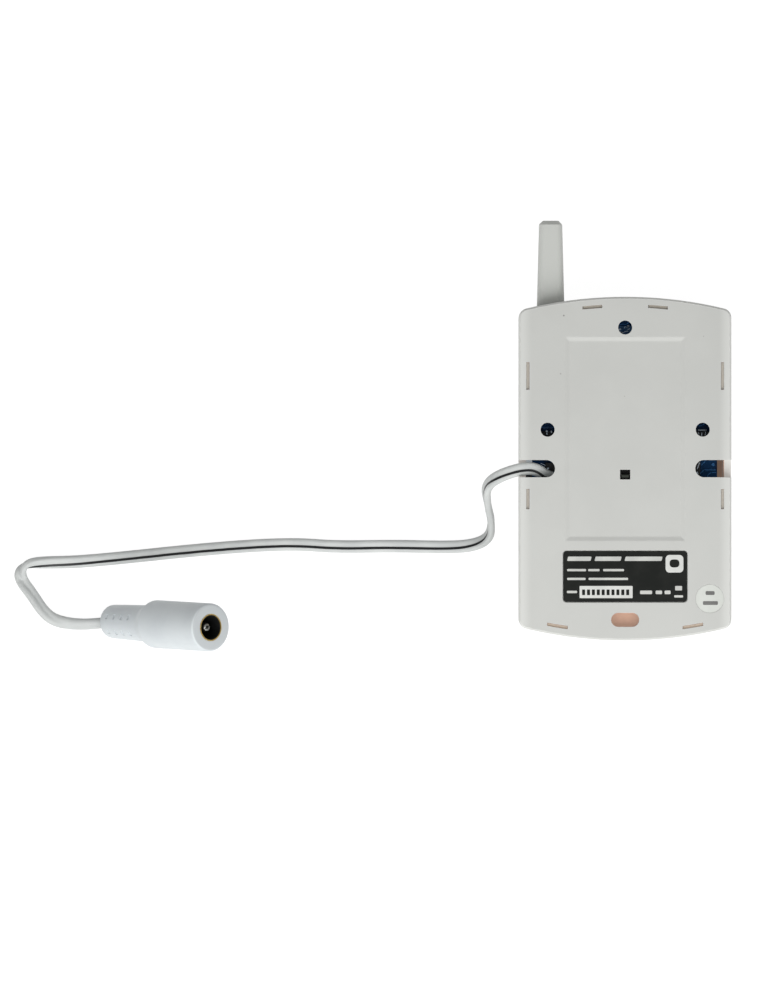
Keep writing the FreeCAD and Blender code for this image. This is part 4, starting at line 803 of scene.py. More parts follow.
# %% [markdown]
# The power socket is a moulded body with a rounded tail, a short cone and a slightly flared barrel.
# It is a turned shape, so it grows ring by ring from a disc. The bore is part of the same profile:
# the last rings go back down inside. It is made upright at the origin and then laid on its axis.

# %% Socket body
JACK_TAIL = Vector((-121.3, -45.06, 0)) * MM
JACK_TILT = math.radians(51.0)
JACK_HEADING = math.radians(-2.8)
JACK_LENGTH = 38.2 * MM
TAIL_RADIUS, NECK_RADIUS, BARREL_RADIUS = 3.95 * MM, 4.35 * MM, 5.65 * MM
TAIL_LENGTH, CONE_LENGTH = 14.9 * MM, 2.6 * MM
TAIL_ROUND = 1.3 * MM
FACE_ROUND = 0.6 * MM
BORE_RADIUS = 3.15 * MM
BORE_DEPTH = 14.0 * MM

jack_axis = Vector((math.cos(JACK_TILT) * math.cos(JACK_HEADING),
                    math.cos(JACK_TILT) * math.sin(JACK_HEADING), math.sin(JACK_TILT)))


def quarter_round(radius, height, size, inward, steps=5):
    """Ring sizes round a corner: outwards from an end, or inwards to it."""
    rings = []
    for step in range(steps + 1):
        turn = math.pi / 2 * (step / steps)
        if inward:
            rings.append((radius - size * (1 - math.cos(turn)), height - size * (1 - math.sin(turn))))
        else:
            rings.append((radius - size * (1 - math.sin(turn)), height + size * (1 - math.cos(turn))))
    return rings


def lathe(name, profile, steps=72):
    """A turned shape along +Z: a disc, extruded and resized ring by ring along (radius, height)."""
    first_radius, first_height = profile[0]
    deselect_everything()
    bpy.ops.mesh.primitive_circle_add(vertices=steps, radius=first_radius, fill_type="NGON",
                                      location=(0, 0, first_height))
    piece = bpy.context.object
    piece.name = name
    piece.data.name = name
    settle(piece)
    bpy.ops.object.mode_set(mode="EDIT")
    bpy.ops.mesh.select_all(action="SELECT")
    radius, height = first_radius, first_height
    for next_radius, next_height in profile[1:]:
        bpy.ops.mesh.extrude_region_move(TRANSFORM_OT_translate={"value": (0, 0, next_height - height)})
        ratio = next_radius / radius
        bpy.ops.transform.resize(value=(ratio, ratio, 1), center_override=(0, 0, next_height))
        radius, height = next_radius, next_height
    bpy.ops.object.mode_set(mode="OBJECT")
    merge(piece)
    return piece


profile = quarter_round(TAIL_RADIUS, 0.0, TAIL_ROUND, inward=False)
profile += [(TAIL_RADIUS + (NECK_RADIUS - TAIL_RADIUS) * share, TAIL_LENGTH * share)
            for share in (0.4, 0.7, 0.97)]
profile += [(NECK_RADIUS + 0.1 * MM, TAIL_LENGTH + 0.15 * MM),
            (BARREL_RADIUS - 0.12 * MM, TAIL_LENGTH + CONE_LENGTH - 0.24 * MM),
            (BARREL_RADIUS - 0.03 * MM, TAIL_LENGTH + CONE_LENGTH),
            (BARREL_RADIUS, TAIL_LENGTH + CONE_LENGTH + 0.25 * MM)]
profile += quarter_round(BARREL_RADIUS, JACK_LENGTH, FACE_ROUND, inward=True)
profile += [(BORE_RADIUS + 0.1 * MM, JACK_LENGTH), (BORE_RADIUS, JACK_LENGTH - 0.1 * MM),
            (BORE_RADIUS, JACK_LENGTH - BORE_DEPTH)]
jack = lathe("socket_body", profile, steps=96)
print("socket", len(jack.data.polygons), "faces")

# %% [markdown]
# Many small details that follow are boxes: moulded steps, chip legs, tracks and prints. Each
# starts as a cube that gets its size, place, turn and soft edges. What repeats is modelled
# once and copied to its places, each copy with its own mesh, so that it can be joined or cut on its own.

# %% Blocks, copies and cuts


def block(middle, size, turn=0.0, edge=0.01):
    """A small box in millimetres, turned about Z, with rounded edges."""
    deselect_everything()
    bpy.ops.mesh.primitive_cube_add(size=1.0)
    piece = bpy.context.object
    piece.data.transform(Matrix.Translation(Vector(middle) * MM) @ Matrix.Rotation(turn, 4, "Z")
                         @ Matrix.Diagonal((*(Vector(size) * MM), 1.0)))
    round_edges(piece, edge * MM)
    return piece


def shift(x, y, z=0.0):
    """A move in millimetres."""
    return Matrix.Translation(Vector((x, y, z)) * MM)


def repeated(pattern, places):
    """Copies of a pattern, each with its own mesh, one for each matrix. The pattern itself goes."""
    copies = []
    for place in places:
        twin = bpy.data.objects.new(pattern.name, pattern.data.copy())
        twin.data.transform(place)
        bpy.context.scene.collection.objects.link(twin)
        copies.append(twin)
    bpy.data.objects.remove(pattern)
    return copies


def join_all(pieces):
    deselect_everything()
    for piece in pieces:
        piece.select_set(True)
    bpy.context.view_layer.objects.active = pieces[0]
    bpy.ops.object.join()
    return bpy.context.object


def cut_out(piece, cutter):
    """Cuts the cutter's shape out of the piece. The cutter goes."""
    boolean = piece.modifiers.new("cut", "BOOLEAN")
    boolean.operation = "DIFFERENCE"
    boolean.object = cutter
    boolean.solver = "EXACT"
    activate(piece)
    bpy.ops.object.modifier_apply(modifier=boolean.name)
    bpy.data.objects.remove(cutter)


print("block helpers ready")

# %% [markdown]
# The socket's tail carries rows of small moulded steps, the strain relief, which let it bend with the
# lead. They could be a bump, but a bump leaves the outline smooth. So one short block is
# modelled, copied to each place, and cut out of the tail with a boolean modifier.

# %% Strain relief
RELIEF_DEPTH = 0.28
RELIEF_SIZE = (1.5, 1.3, 0.85)
RELIEF_START, RELIEF_PITCH = 3.2, 2.85
RELIEF_ROWS = (36, 161, 216, 341)
RELIEF_STEPS = 4


def relief_place(turn, number):
    """Where a step of the strain relief lies: a little sunk into the tail's slope."""
    height = RELIEF_START + number * RELIEF_PITCH
    radius = (TAIL_RADIUS + (NECK_RADIUS - TAIL_RADIUS) * height * MM / TAIL_LENGTH) / MM
    return (Matrix.Rotation(math.radians(turn), 4, "Z")
            @ shift(radius - RELIEF_DEPTH + RELIEF_SIZE[0] / 2, 0, height))


steps = repeated(block((0, 0, 0), RELIEF_SIZE, edge=0.12),
                 [relief_place(turn, number) for turn in RELIEF_ROWS for number in range(RELIEF_STEPS)])
cut_out(jack, join_all(steps))
print("socket with", len(RELIEF_ROWS) * RELIEF_STEPS, "steps,", len(jack.data.polygons), "faces")

# %% [markdown]
# In the photograph the socket's face and bore are wide ellipses, so it leans up at the camera, propped
# by its stiff lead. Every piece of it is made upright, which is simple to think about, and then
# turned onto one axis. The tail's rounded rim decides how high it stands, so that it just clears the floor.

# %% Lay the socket on its axis
jack_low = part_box("jack_body")[0]
FLOOR_GAP = 0.03 * MM


def lay_on_jack(piece):
    """Turns a piece that was made upright onto the socket's axis."""
    turn = Vector((0, 0, 1)).rotation_difference(jack_axis).to_matrix().to_4x4()
    corner = TAIL_ROUND * (1 - math.sqrt(0.5))
    rim = ((TAIL_RADIUS - TAIL_ROUND, 0.0), (TAIL_RADIUS - corner, corner), (TAIL_RADIUS, TAIL_ROUND))
    lowest = max(reach * math.cos(JACK_TILT) - along * math.sin(JACK_TILT) for reach, along in rim)
    lift = Vector((0, 0, lowest + FLOOR_GAP))
    piece.data.transform(Matrix.Translation(JACK_TAIL + lift) @ turn)
    piece.data.update()


lay_on_jack(jack)
smooth(jack, 38)
lowest_corner = min(vertex.co.z for vertex in jack.data.vertices)
print("lowest", round(lowest_corner * 1000, 3), "mm; CAD", round(jack_low[2] * 1000, 3))

# %% [markdown]
# Inside the socket sits a centre pin. On the real one it is a split, springy tube with a rounded nose,
# so that it grips the plug. It is turned like the body and slit with a thin block.

# %% Centre pin
PIN_RADIUS, PIN_BORE = 1.0 * MM, 0.36 * MM
PIN_NOSE = 0.45 * MM
PIN_TOP = JACK_LENGTH - 1.35 * MM
PIN_FOOT = JACK_LENGTH - 10.85 * MM
SLIT_WIDTH, SLIT_DEPTH = 0.22 * MM, 5.0 * MM
SLIT_TURN = math.radians(35)
pin_profile = [(PIN_RADIUS, PIN_FOOT), (PIN_RADIUS, PIN_TOP - PIN_NOSE * 1.5)]
pin_profile += quarter_round(PIN_RADIUS, PIN_TOP, PIN_NOSE, inward=True)
pin_profile += [(PIN_BORE + 0.06 * MM, PIN_TOP), (PIN_BORE, PIN_TOP - 0.12 * MM),
                (PIN_BORE, PIN_TOP - SLIT_DEPTH)]
pin = lathe("socket_pin", pin_profile, steps=40)
slit_middle = (0, 0, (PIN_TOP - SLIT_DEPTH / 2) / MM + 0.1)
cut_out(pin, block(slit_middle, (4, SLIT_WIDTH / MM, SLIT_DEPTH / MM), SLIT_TURN))
lay_on_jack(pin)
smooth(pin, 35)
print("pin", len(pin.data.polygons), "faces")

# %% [markdown]
# The socket body is soft white PVC, a touch bluer than the case and smoother. Its flat face is
# painted a little darker than its sides, as painted shade, so a mask along the socket's axis darkens it.
# Its rubbed edges are lighter, partly as a painted highlight. The metal is plated
# brass for the ring, and nickel for the pin. Plating is bright but never clean: faint smudges
# change its colour and its roughness.

# %% Socket materials
socket_plastic, tree, principled = new_material("socket plastic", Roughness=0.42, Specular_IOR_Level=0.4)
place, tone = grained(tree, principled, 3200.0, 110.0, strength=0.22, depth=0.01 * MM)
wear = use_group(tree, wear_and_highlight_group, place, Amount=0.3)
base = mix_colour(tree, tone, screen_colour(208, 214, 217), screen_colour(214, 220, 222))
# The lighter edges are partly wear, partly a painted highlight.
sides = mix_colour(tree, wear.outputs["Mask"], base, screen_colour(232, 235, 236))
# Painted shade: the flat face at the front end is darker than the sides.
along_axis = add_linked(tree, "ShaderNodeVectorMath", place, operation="DOT_PRODUCT", in_1=jack_axis)
front_end = max(vertex.co.dot(jack_axis) for vertex in jack.data.vertices)
face_painted_shade = ramp(tree, along_axis.outputs["Value"], front_end - 0.12 * MM, front_end - 0.03 * MM)
link(tree, mix_colour(tree, face_painted_shade, sides, screen_colour(196, 201, 203)), principled.inputs["Base Color"])
SMUDGE_DULLING = 0.18


def metal(name, colour, smudge, roughness):
    """Plated metal: smudges darken it slightly and change its roughness."""
    material, tree, principled = new_material(name, Metallic=1.0)
    place = object_place(tree)
    smudges = add_node(tree, "ShaderNodeTexNoise", in_Scale=700.0, in_Detail=6.0, in_Roughness=0.7)
    link(tree, place, smudges.inputs["Vector"])
    mask = ramp(tree, smudges.outputs["Fac"], 0.4, 0.65)
    base = mix_colour(tree, mask, screen_colour(*smudge), screen_colour(*colour))
    link(tree, base, principled.inputs["Base Color"])
    span = add_node(tree, "ShaderNodeMapRange")
    span.inputs["To Min"].default_value = roughness + SMUDGE_DULLING
    span.inputs["To Max"].default_value = roughness
    link(tree, mask, span.inputs["Value"])
    link(tree, span.outputs["Result"], principled.inputs["Roughness"])
    return material


brass = metal("plated brass", (236, 212, 140), (206, 172, 96), 0.22)
nickel = metal("nickel plating", (206, 206, 200), (150, 150, 146), 0.24)

jack.data.materials.append(socket_plastic)
pin.data.materials.append(nickel)
for piece, node, slot in ((jack, "jack_body", "white_pvc"), (pin, "jack_pin", "silver_pin")):
    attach(piece, "housing")
    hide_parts(node)
print("socket finished")

# %% [markdown]
# The circuit board only shows through holes, but there it is what makes the sensor look real: dark
# blue solder mask over copper, and a gloss that catches the light. The copper that fills the
# space between tracks is a lighter pattern under the mask. Voronoi cells measured along the axes are
# square, as such fills are, and they need no drawing. Tracks get a lighter finish of their own.

# %% Circuit board
BOARD_DARK, BOARD_LIGHT = screen_colour(4, 36, 64), screen_colour(8, 50, 88)
FILLED_COPPER = screen_colour(8, 64, 108)
TRACK_DARK, TRACK_LIGHT = screen_colour(56, 116, 176), screen_colour(88, 150, 206)

board_finish, tree, principled = new_material("blue solder mask", Roughness=0.35, Specular_IOR_Level=0.12)
place = object_place(tree)
weave = add_linked(tree, "ShaderNodeTexNoise", place, in_Scale=260.0, in_Detail=3.0)
copper = add_linked(tree, "ShaderNodeTexVoronoi", place, feature="F1", distance="CHEBYCHEV",
                    in_Scale=150.0, in_Randomness=0.8)
filled = ramp(tree, copper.outputs["Distance"], 0.40, 0.44)
bare = mix_colour(tree, weave.outputs["Fac"], BOARD_DARK, BOARD_LIGHT)
link(tree, mix_colour(tree, filled, FILLED_COPPER, bare), principled.inputs["Base Color"])
bump(tree, principled, filled, 0.3, 0.03 * MM)

track_finish, tree, principled = new_material("copper under mask", Roughness=0.35, Specular_IOR_Level=0.12)
weave = add_linked(tree, "ShaderNodeTexNoise", object_place(tree), in_Scale=900.0, in_Detail=2.0)
link(tree, mix_colour(tree, weave.outputs["Fac"], TRACK_DARK, TRACK_LIGHT), principled.inputs["Base Color"])
print("board finishes ready")

# %% [markdown]
# The other inner parts are plain mouldings, rubber and metal cans. They keep their CAD shapes, because
# the eye never meets them, but each has a true finish for whoever opens the case or reuses a part. A
# moulding is two close tones with the shared grain, so one helper makes them all.

# %% Finishes of the inner parts


def tinted_plastic(name, dark, light, roughness, grain_scale=3800.0, depth=0.012 * MM, **shader):
    """Moulded plastic, rubber or print in two close tones."""
    material, tree, principled = new_material(name, Roughness=roughness, **shader)
    tone = grained(tree, principled, grain_scale, 240.0, strength=0.3, depth=depth)[1]
    base = mix_colour(tree, tone, screen_colour(*dark), screen_colour(*light))
    link(tree, base, principled.inputs["Base Color"])
    return material


black_plastic = tinted_plastic("black moulding", (20, 21, 21), (32, 33, 33), 0.45)
rubber = tinted_plastic("black rubber", (26, 26, 27), (40, 40, 41), 0.75)
nylon = tinted_plastic("white nylon", (214, 212, 202), (226, 224, 214), 0.4)
lens = tinted_plastic("clear lens", (225, 230, 228), (240, 244, 242), 0.12, Transmission_Weight=0.85,
                      IOR=1.49)
label_black = tinted_plastic("printed black label", (18, 21, 18), (27, 29, 26), 0.42, depth=0.004 * MM,
                             Specular_IOR_Level=0.2)
sticker_paper = tinted_plastic("sticker paper", (212, 215, 209), (220, 223, 217), 0.55, grain_scale=5200.0,
                               depth=0.006 * MM)
steel = metal("zinc plated steel", (190, 192, 196), (140, 142, 146), 0.32)
aluminium = metal("aluminium can", (208, 210, 212), (170, 172, 175), 0.36)

FINISHES = {
    "circuit_board": board_finish, "radio_module": board_finish,
    "board_screws": steel, "crystal": aluminium, "microphone_capsule": aluminium,
    "smoothing_capacitors": aluminium, "radio_resonator": aluminium, "antenna_wire": steel,
    "mode_header": black_plastic, "mode_jumper": black_plastic,
    "microcontroller": black_plastic, "audio_amplifier": black_plastic, "voltage_regulator": black_plastic,
    "tamper_switch": black_plastic, "microphone_boot": rubber,
    "status_led": lens, "light_pipe": lens, "lead_header": nylon, "lead_plug": nylon,
    "label_plate": label_black, "round_sticker": sticker_paper,
    "jack_ring": brass, "jack_insert": black_plastic,
}
for name, material in FINISHES.items():
    mesh = nodes[name].data
    mesh.materials.clear()
    mesh.materials.append(material)
print(len(FINISHES), "CAD nodes have their finish")

# %% [markdown]
# Through the right notch and the screw holes the eye meets the board close up. Its tracks run
# straight and turn at 45 degrees, and a via is a small copper ring. A picture could show them, but
# real tracks stand up from the board and catch the light at their edges. So each straight part
# is a flat block, and each via a torus that is half sunk in the board. The torus is smaller than the
# usual tolerance of a bisect, so that cut leaves it whole and only fills its hole.

# %% Tracks on the board
board_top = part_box("circuit_board")[1][2]
BOARD_LEVEL = board_top / MM
TRACK_WIDTH, TRACK_HEIGHT = 0.22, 0.03
# the corners of each track, x and y in millimetres
TRACKS = [
    [(16.4, -8.3), (18.0, -8.3), (19.0, -7.3), (19.0, -6.6)],
    [(17.4, -11.3), (17.4, -10.6), (18.7, -9.3), (21.4, -9.3)],
    [(19.6, -11.3), (19.6, -10.5), (20.4, -9.9), (21.5, -9.9)],
    [(-1.6, 23.3), (-0.4, 23.3), (0.3, 24.0), (1.7, 24.0)],
    [(-1.6, 25.0), (0.4, 25.0), (1.1, 25.6)],
    [(-19.9, 0.75), (-16.6, 0.75)],
    [(16.9, 1.15), (18.3, 1.15), (18.8, 1.6)],
    [(-17.9, -6.8), (-17.0, -7.7), (-16.2, -7.7)],
]
VIAS = [(20.9, -8.04, 0.4), (-0.54, 23.9, 0.35)]


def finished(name, pieces, material, body="housing"):
    """Joins pieces to one and gives it its name, finish and body."""
    piece = join_all(pieces)
    piece.name = name
    piece.data.name = name
    piece.data.materials.clear()
    piece.data.materials.append(material)
    settle(piece)
    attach(piece, body)
    print(name, len(piece.data.polygons), "faces")
    return piece


def track(points):
    """Strips between points in the board's plane, which overlap a little at each turn."""
    strips = []
    for (x0, y0), (x1, y1) in zip(points, points[1:]):
        middle = ((x0 + x1) / 2, (y0 + y1) / 2, BOARD_LEVEL + TRACK_HEIGHT / 2)
        length = math.hypot(x1 - x0, y1 - y0) + TRACK_WIDTH * 0.8
        strips.append(block(middle, (length, TRACK_WIDTH, TRACK_HEIGHT), math.atan2(y1 - y0, x1 - x0)))
    return strips


def via_ring(x, y, radius):
    """A raised ring of copper, half sunk in the board, whose hole is filled."""
    deselect_everything()
    bpy.ops.mesh.primitive_torus_add(major_radius=radius * MM, minor_radius=0.07 * MM, major_segments=32,
                                     minor_segments=8, location=Vector((x, y, BOARD_LEVEL + 0.02)) * MM)
    ring = bpy.context.object
    settle(ring)
    bpy.ops.object.mode_set(mode="EDIT")
    bpy.ops.mesh.select_all(action="SELECT")
    bpy.ops.mesh.bisect(plane_co=(0, 0, board_top - 0.01 * MM), plane_no=(0, 0, 1), use_fill=True,
                        clear_inner=True)
    bpy.ops.object.mode_set(mode="OBJECT")
    smooth(ring, 60)
    return ring


strips = [strip for points in TRACKS for strip in track(points)]
finished("board_tracks", strips + [via_ring(*via) for via in VIAS], track_finish)

# %% [markdown]
# Under each side hole lies the edge of a small chip with bright legs, and blobs of solder sit where
# parts are fixed. Legs are one block copied in a row. A blob is a ball pressed flat, with its lower
# half cut off, because melted solder draws itself into that dome. It is smaller than the cut's usual
# tolerance too, so here the cut gets a finer one, and one face closes it.

# %% Legs and solder
LEG_LEVEL = BOARD_LEVEL + 0.35
CUT_TOLERANCE = 0.0001 * MM


def upper_half(piece):
    """Cuts away what lies under the board's surface and closes the cut with one face."""
    activate(piece)
    bpy.ops.object.mode_set(mode="EDIT")
    bpy.ops.mesh.select_mode(type="EDGE")
    bpy.ops.mesh.select_all(action="SELECT")
    bpy.ops.mesh.bisect(plane_co=(0, 0, board_top - 0.01 * MM), plane_no=(0, 0, 1), clear_inner=True,
                        threshold=CUT_TOLERANCE)
    bpy.ops.mesh.edge_face_add()
    bpy.ops.mesh.select_all(action="SELECT")
    bpy.ops.mesh.normals_make_consistent(inside=False)
    bpy.ops.object.mode_set(mode="OBJECT")
    smooth(piece, 60)
    return piece


def dome(x, y, radius, height):
    """A blob of solder on the board: the upper half of a flattened ball."""
    deselect_everything()
    bpy.ops.mesh.primitive_uv_sphere_add(segments=20, ring_count=10, radius=radius * MM)
    ball = bpy.context.object
    ball.data.transform(shift(x, y, BOARD_LEVEL) @ Matrix.Diagonal((1, 1, height / radius, 1)))
    return upper_half(ball)


legs = repeated(block((17.35, 0.0, LEG_LEVEL), (0.24, 0.6, 0.5), edge=0.05),
                [shift(0.45 * number, 0) for number in range(5)])
legs += repeated(block((-18.45, -0.25, LEG_LEVEL), (0.42, 0.7, 0.5), edge=0.08),
                 [shift(1.1 * number, 0) for number in range(2)])
solder = metal("solder", (200, 202, 204), (130, 132, 136), 0.3)
blobs = [dome(0.85, 24.55, 0.36, 0.32), dome(-0.75, 23.1, 0.25, 0.2), dome(-17.35, -8.3, 0.25, 0.3),
         dome(-16.95, -8.9, 0.2, 0.3)]
bright = finished("board_legs_and_solder", legs + blobs, solder)
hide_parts("solder_joints")

# %% [markdown]
# White ink on the board and on the chips marks parts on a real board, and some of the strokes are
# painted highlights that stand for glints on the chips and the board. None of it can be read through
# the holes, so it is short plain strokes and fields, each a thin block on its surface. Little light
# reaches them down there, so they glow a little, which is painted light. Two patches of poured copper,
# pale blue under the solder mask, lie flat on the board among them. The one in the top hole is partly
# painted light, as it lies where light falls into the hole.

# %% Prints, painted glints and pours
CHIP_HEIGHT = 0.9
ON_BOARD, ON_CHIP, ON_TALL_CHIP = BOARD_LEVEL + 0.07, BOARD_LEVEL + CHIP_HEIGHT + 0.03, BOARD_LEVEL + 1.22
PRINT_THICK = 0.06
# x, y, height of the surface, length, width and turn of each print
# Some strokes, such as those on the tall chip and in the top hole, are painted glints.
BOARD_PRINTS_AND_GLINTS = [
    (-1.12, 23.85, ON_BOARD, 0.5, 0.36, 0.4), (0.8, 24.5, ON_BOARD, 0.75, 0.2, 0.7),
    (0.95, 23.9, ON_BOARD, 0.5, 0.16, 0.3), (-0.6, 23.15, ON_BOARD, 1.0, 0.12, -0.35),
    (0.35, 23.35, ON_BOARD, 0.9, 0.12, 0.2), (0.0, 24.3, ON_BOARD, 0.5, 0.12, 0.9),
    (-18.38, -0.24, ON_CHIP, 0.42, 0.4, 0.0), (-17.27, -0.36, ON_CHIP, 0.3, 0.45, 0.2),
    (-18.33, -0.82, ON_CHIP, 0.3, 0.34, 0.0),
    (18.15, -0.95, ON_CHIP, 0.2, 0.85, 0.0), (17.45, -0.75, ON_CHIP, 0.12, 0.7, 0.2),
    (19.0, -0.7, ON_CHIP, 0.12, 0.7, -0.2),
    (17.35, -8.35, ON_TALL_CHIP, 0.18, 1.7, -0.35), (17.05, -10.05, ON_TALL_CHIP, 0.5, 0.6, 0.3),
    (-19.2, -8.0, ON_BOARD, 1.3, 0.14, -0.4), (-18.1, -8.95, BOARD_LEVEL + 0.83, 0.5, 0.35, 0.2),
]
# Partly print, partly painted glints; the glow is painted light.
print_and_glint_ink = tinted_plastic("white board print and painted glints", (205, 214, 220), (225, 232, 238), 0.6,
                            Emission_Color=screen_colour(165, 178, 186), Emission_Strength=0.16)
pour_and_light_patch = tinted_plastic("copper pour and painted light", (48, 92, 138), (84, 130, 170), 0.5)

prints = [block((x, y, z), (length, width, PRINT_THICK), turn)
          for x, y, z, length, width, turn in BOARD_PRINTS_AND_GLINTS]
prints += repeated(block((17.45, 0.08, ON_CHIP), (0.2, 0.26, PRINT_THICK)),
                   [shift(0.32 * number, 0) for number in range(5)])
finished("board_prints_and_glints", prints, print_and_glint_ink)
# Partly painted light: the pale patch in the top hole lies where light falls into it.
pours = [block((0.0, 23.55, BOARD_LEVEL + 0.02), (3.4, 2.1, 0.04)),
         block((-18.1, 0.62, BOARD_LEVEL + 0.02), (2.1, 0.36, 0.04))]
finished("board_pours_and_light_patches", pours, pour_and_light_patch)

# %% [markdown]
# The chips themselves are boxes of black plastic with soft edges. The two beside the holes are alike,
# so one is modelled and copied. The two at the notches have their own sizes.

# %% Chips
chips = repeated(block((0, -1.45, BOARD_LEVEL + CHIP_HEIGHT / 2), (3.6, 2.5, CHIP_HEIGHT), edge=0.1),
                 [shift(18.2, 0), shift(-18.2, 0)])
chips += [block((16.9, -9.1, BOARD_LEVEL + 0.6), (1.9, 3.6, 1.2), edge=0.25),
          block((-17.5, -9.0, BOARD_LEVEL + 0.4), (2.4, 2.8, 0.8), edge=0.1)]
finished("board_chips", chips, black_plastic)

# %% [markdown]
# The plunger of the tamper switch is a small moulded tongue. Only a narrow strip of its top lies level
# and catches the light, so it looks grey. The rest falls away and stays dark in the window. So its copy
# has its long upper edges bevelled widely and then softened, and a mask along Y paints that strip
# lighter, as a painted highlight.

# %% Tamper plunger
RIDGE_MIDDLE = -10.78 * MM
RIDGE_CORE, RIDGE_EDGE = 0.24 * MM, 0.34 * MM
plunger_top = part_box("tamper_plunger")[1][2]


def is_long_top_edge(*ends):
    on_top = all(end.z > plunger_top - 0.01 * MM for end in ends)
    return on_top and abs(ends[0].y - ends[1].y) < 0.01 * MM


plunger = copy_of_node("tamper_plunger", "tamper_tongue")
bevel_where(plunger, is_long_top_edge, 0.28 * MM, 1)
round_edges(plunger, 0.06 * MM)
smooth(plunger, 35)
plunger_with_painted_highlight, tree, principled = new_material("black plunger with painted highlight", Roughness=0.7, Specular_IOR_Level=0.1)
place, tone = grained(tree, principled, 3800.0, 240.0, strength=0.3)
off_ridge = math_node(tree, "ABSOLUTE", math_node(tree, "SUBTRACT", axes_of(tree, place)[1], RIDGE_MIDDLE))
flanks = mix_colour(tree, tone, screen_colour(18, 20, 18), screen_colour(24, 26, 24))
# Painted highlight: the level strip of the top is lighter.
link(tree, mix_colour(tree, ramp(tree, off_ridge, RIDGE_CORE, RIDGE_EDGE), screen_colour(60, 63, 58), flanks),
     principled.inputs["Base Color"])
plunger.data.materials.append(plunger_with_painted_highlight)
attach(plunger, "tamper_button")
print("tongue", len(plunger.data.polygons), "faces")

# %% [markdown]
# The label and the sticker carry no words here. Plain bars stand where text would be, with the
# lengths that words have, and plain pale fields where the larger prints would be. Ink could be a mask
# in the label's material. A very thin block with rounded corners does it too, keeps its outline sharp
# close up, and catches the light as raised ink does.

# %% Label and sticker prints
# the point of the picture that shows the origin
PICTURE_ZERO = (625.1, 430.35)
PRINT_HEIGHT = 0.02 * MM


def from_picture(x, y):
    """The place on the case that a point of the picture shows."""
    return (x - PICTURE_ZERO[0]) / PIXELS_PER_MM * MM, (PICTURE_ZERO[1] - y) / PIXELS_PER_MM * MM


def printed_block(box, level, corner, slant=0.0):
    """A thin block over a box of the picture (left, top, right, bottom), maybe slanted like italics."""
    left, top = from_picture(box[0], box[1])
    right, low = from_picture(box[2], box[3])
    middle = ((left + right) / 2, (top + low) / 2, level + PRINT_HEIGHT / 2)
    deselect_everything()
    bpy.ops.mesh.primitive_cube_add(size=1.0, location=middle, scale=(right - left, top - low, PRINT_HEIGHT))
    bar = bpy.context.object
    settle(bar)
    bevel_where(bar, lambda first, second: abs(first.z - second.z) > PRINT_HEIGHT / 2, corner, 4)
    for vertex in bar.data.vertices:
        vertex.co.x += slant * (vertex.co.y - middle[1])
    return bar


print("print of", round(PRINT_HEIGHT * 1000, 3), "mm")

# %% [markdown]
# The places of the bars and fields follow the photograph's print, box by box. The row of marks in the
# pale field repeats, so one mark is modelled and copied.

# %% Bars and fields
label_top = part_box("label_plate")[1][2]
sticker_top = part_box("round_sticker")[1][2]
TITLE_BARS = [(567.5, 556.6, 591.0, 561.0), (595.0, 556.6, 621.0, 561.0), (625.0, 556.6, 662.0, 561.0)]
TEXT_BARS = [(567.0, 569.0, 586.0, 571.3), (588.0, 569.0, 599.5, 571.3), (603.0, 569.0, 624.0, 571.3),
             (567.0, 577.8, 585.5, 580.1), (588.5, 577.8, 628.0, 580.1), (566.8, 590.8, 577.0, 593.2),
             (640.0, 590.6, 652.0, 594.2), (655.5, 590.6, 662.0, 594.2), (664.5, 590.6, 670.5, 594.2),
             (675.0, 586.0, 682.0, 590.5), (674.0, 595.3, 683.0, 597.6)]
TITLE_SLANT = 0.25
CODE_MARKS = 10
CODE_PITCH = 4.9 / PIXELS_PER_MM
INK_GRAIN = 0.004 * MM
label_print = tinted_plastic("label print", (196, 197, 193), (210, 211, 206), 0.5, depth=INK_GRAIN)
label_white = tinted_plastic("label white field", (214, 215, 211), (224, 225, 221), 0.5, depth=INK_GRAIN)
sticker_ink = tinted_plastic("sticker ink", (104, 104, 102), (118, 118, 116), 0.6, depth=INK_GRAIN)
code_bar = printed_block((582.0, 589.6, 585.0, 595.2), label_top + PRINT_HEIGHT, 0.1 * MM)
title = [printed_block(box, label_top, 0.2 * MM, TITLE_SLANT) for box in TITLE_BARS]
finished("label_text_bars", title + [printed_block(box, label_top, 0.2 * MM) for box in TEXT_BARS],
         label_print)
finished("label_fields", [printed_block((665.5, 555.0, 683.3, 572.6), label_top, 0.9 * MM),
                          printed_block((579.5, 586.0, 632.5, 598.2), label_top, 0.15 * MM)],
         label_white)
finished("label_code_bars", repeated(code_bar, [shift(CODE_PITCH * step, 0) for step in range(CODE_MARKS)])
         + [printed_block((669.5, 559.5, 679.3, 567.5), label_top + PRINT_HEIGHT, 0.8 * MM)],
         label_black)
finished("sticker_bars", [printed_block((705.5, 591.2, 714.5, 595.0), sticker_top, 0.25 * MM),
                          printed_block((702.8, 601.2, 717.8, 605.0), sticker_top, 0.25 * MM)],
         sticker_ink)

# %% [markdown]
# The floor is a plain white sweep. In the photograph the ground is pure white with hardly a shadow, so
# the floor that the camera sees glows on top of the light that falls on it, and the object's shadow
# still dims it a little. More lamps would wash out the object instead. Mirrored and clear surfaces show
# the same floor, but soft light from below comes from plain white paper, so the glow doesn't add to it.

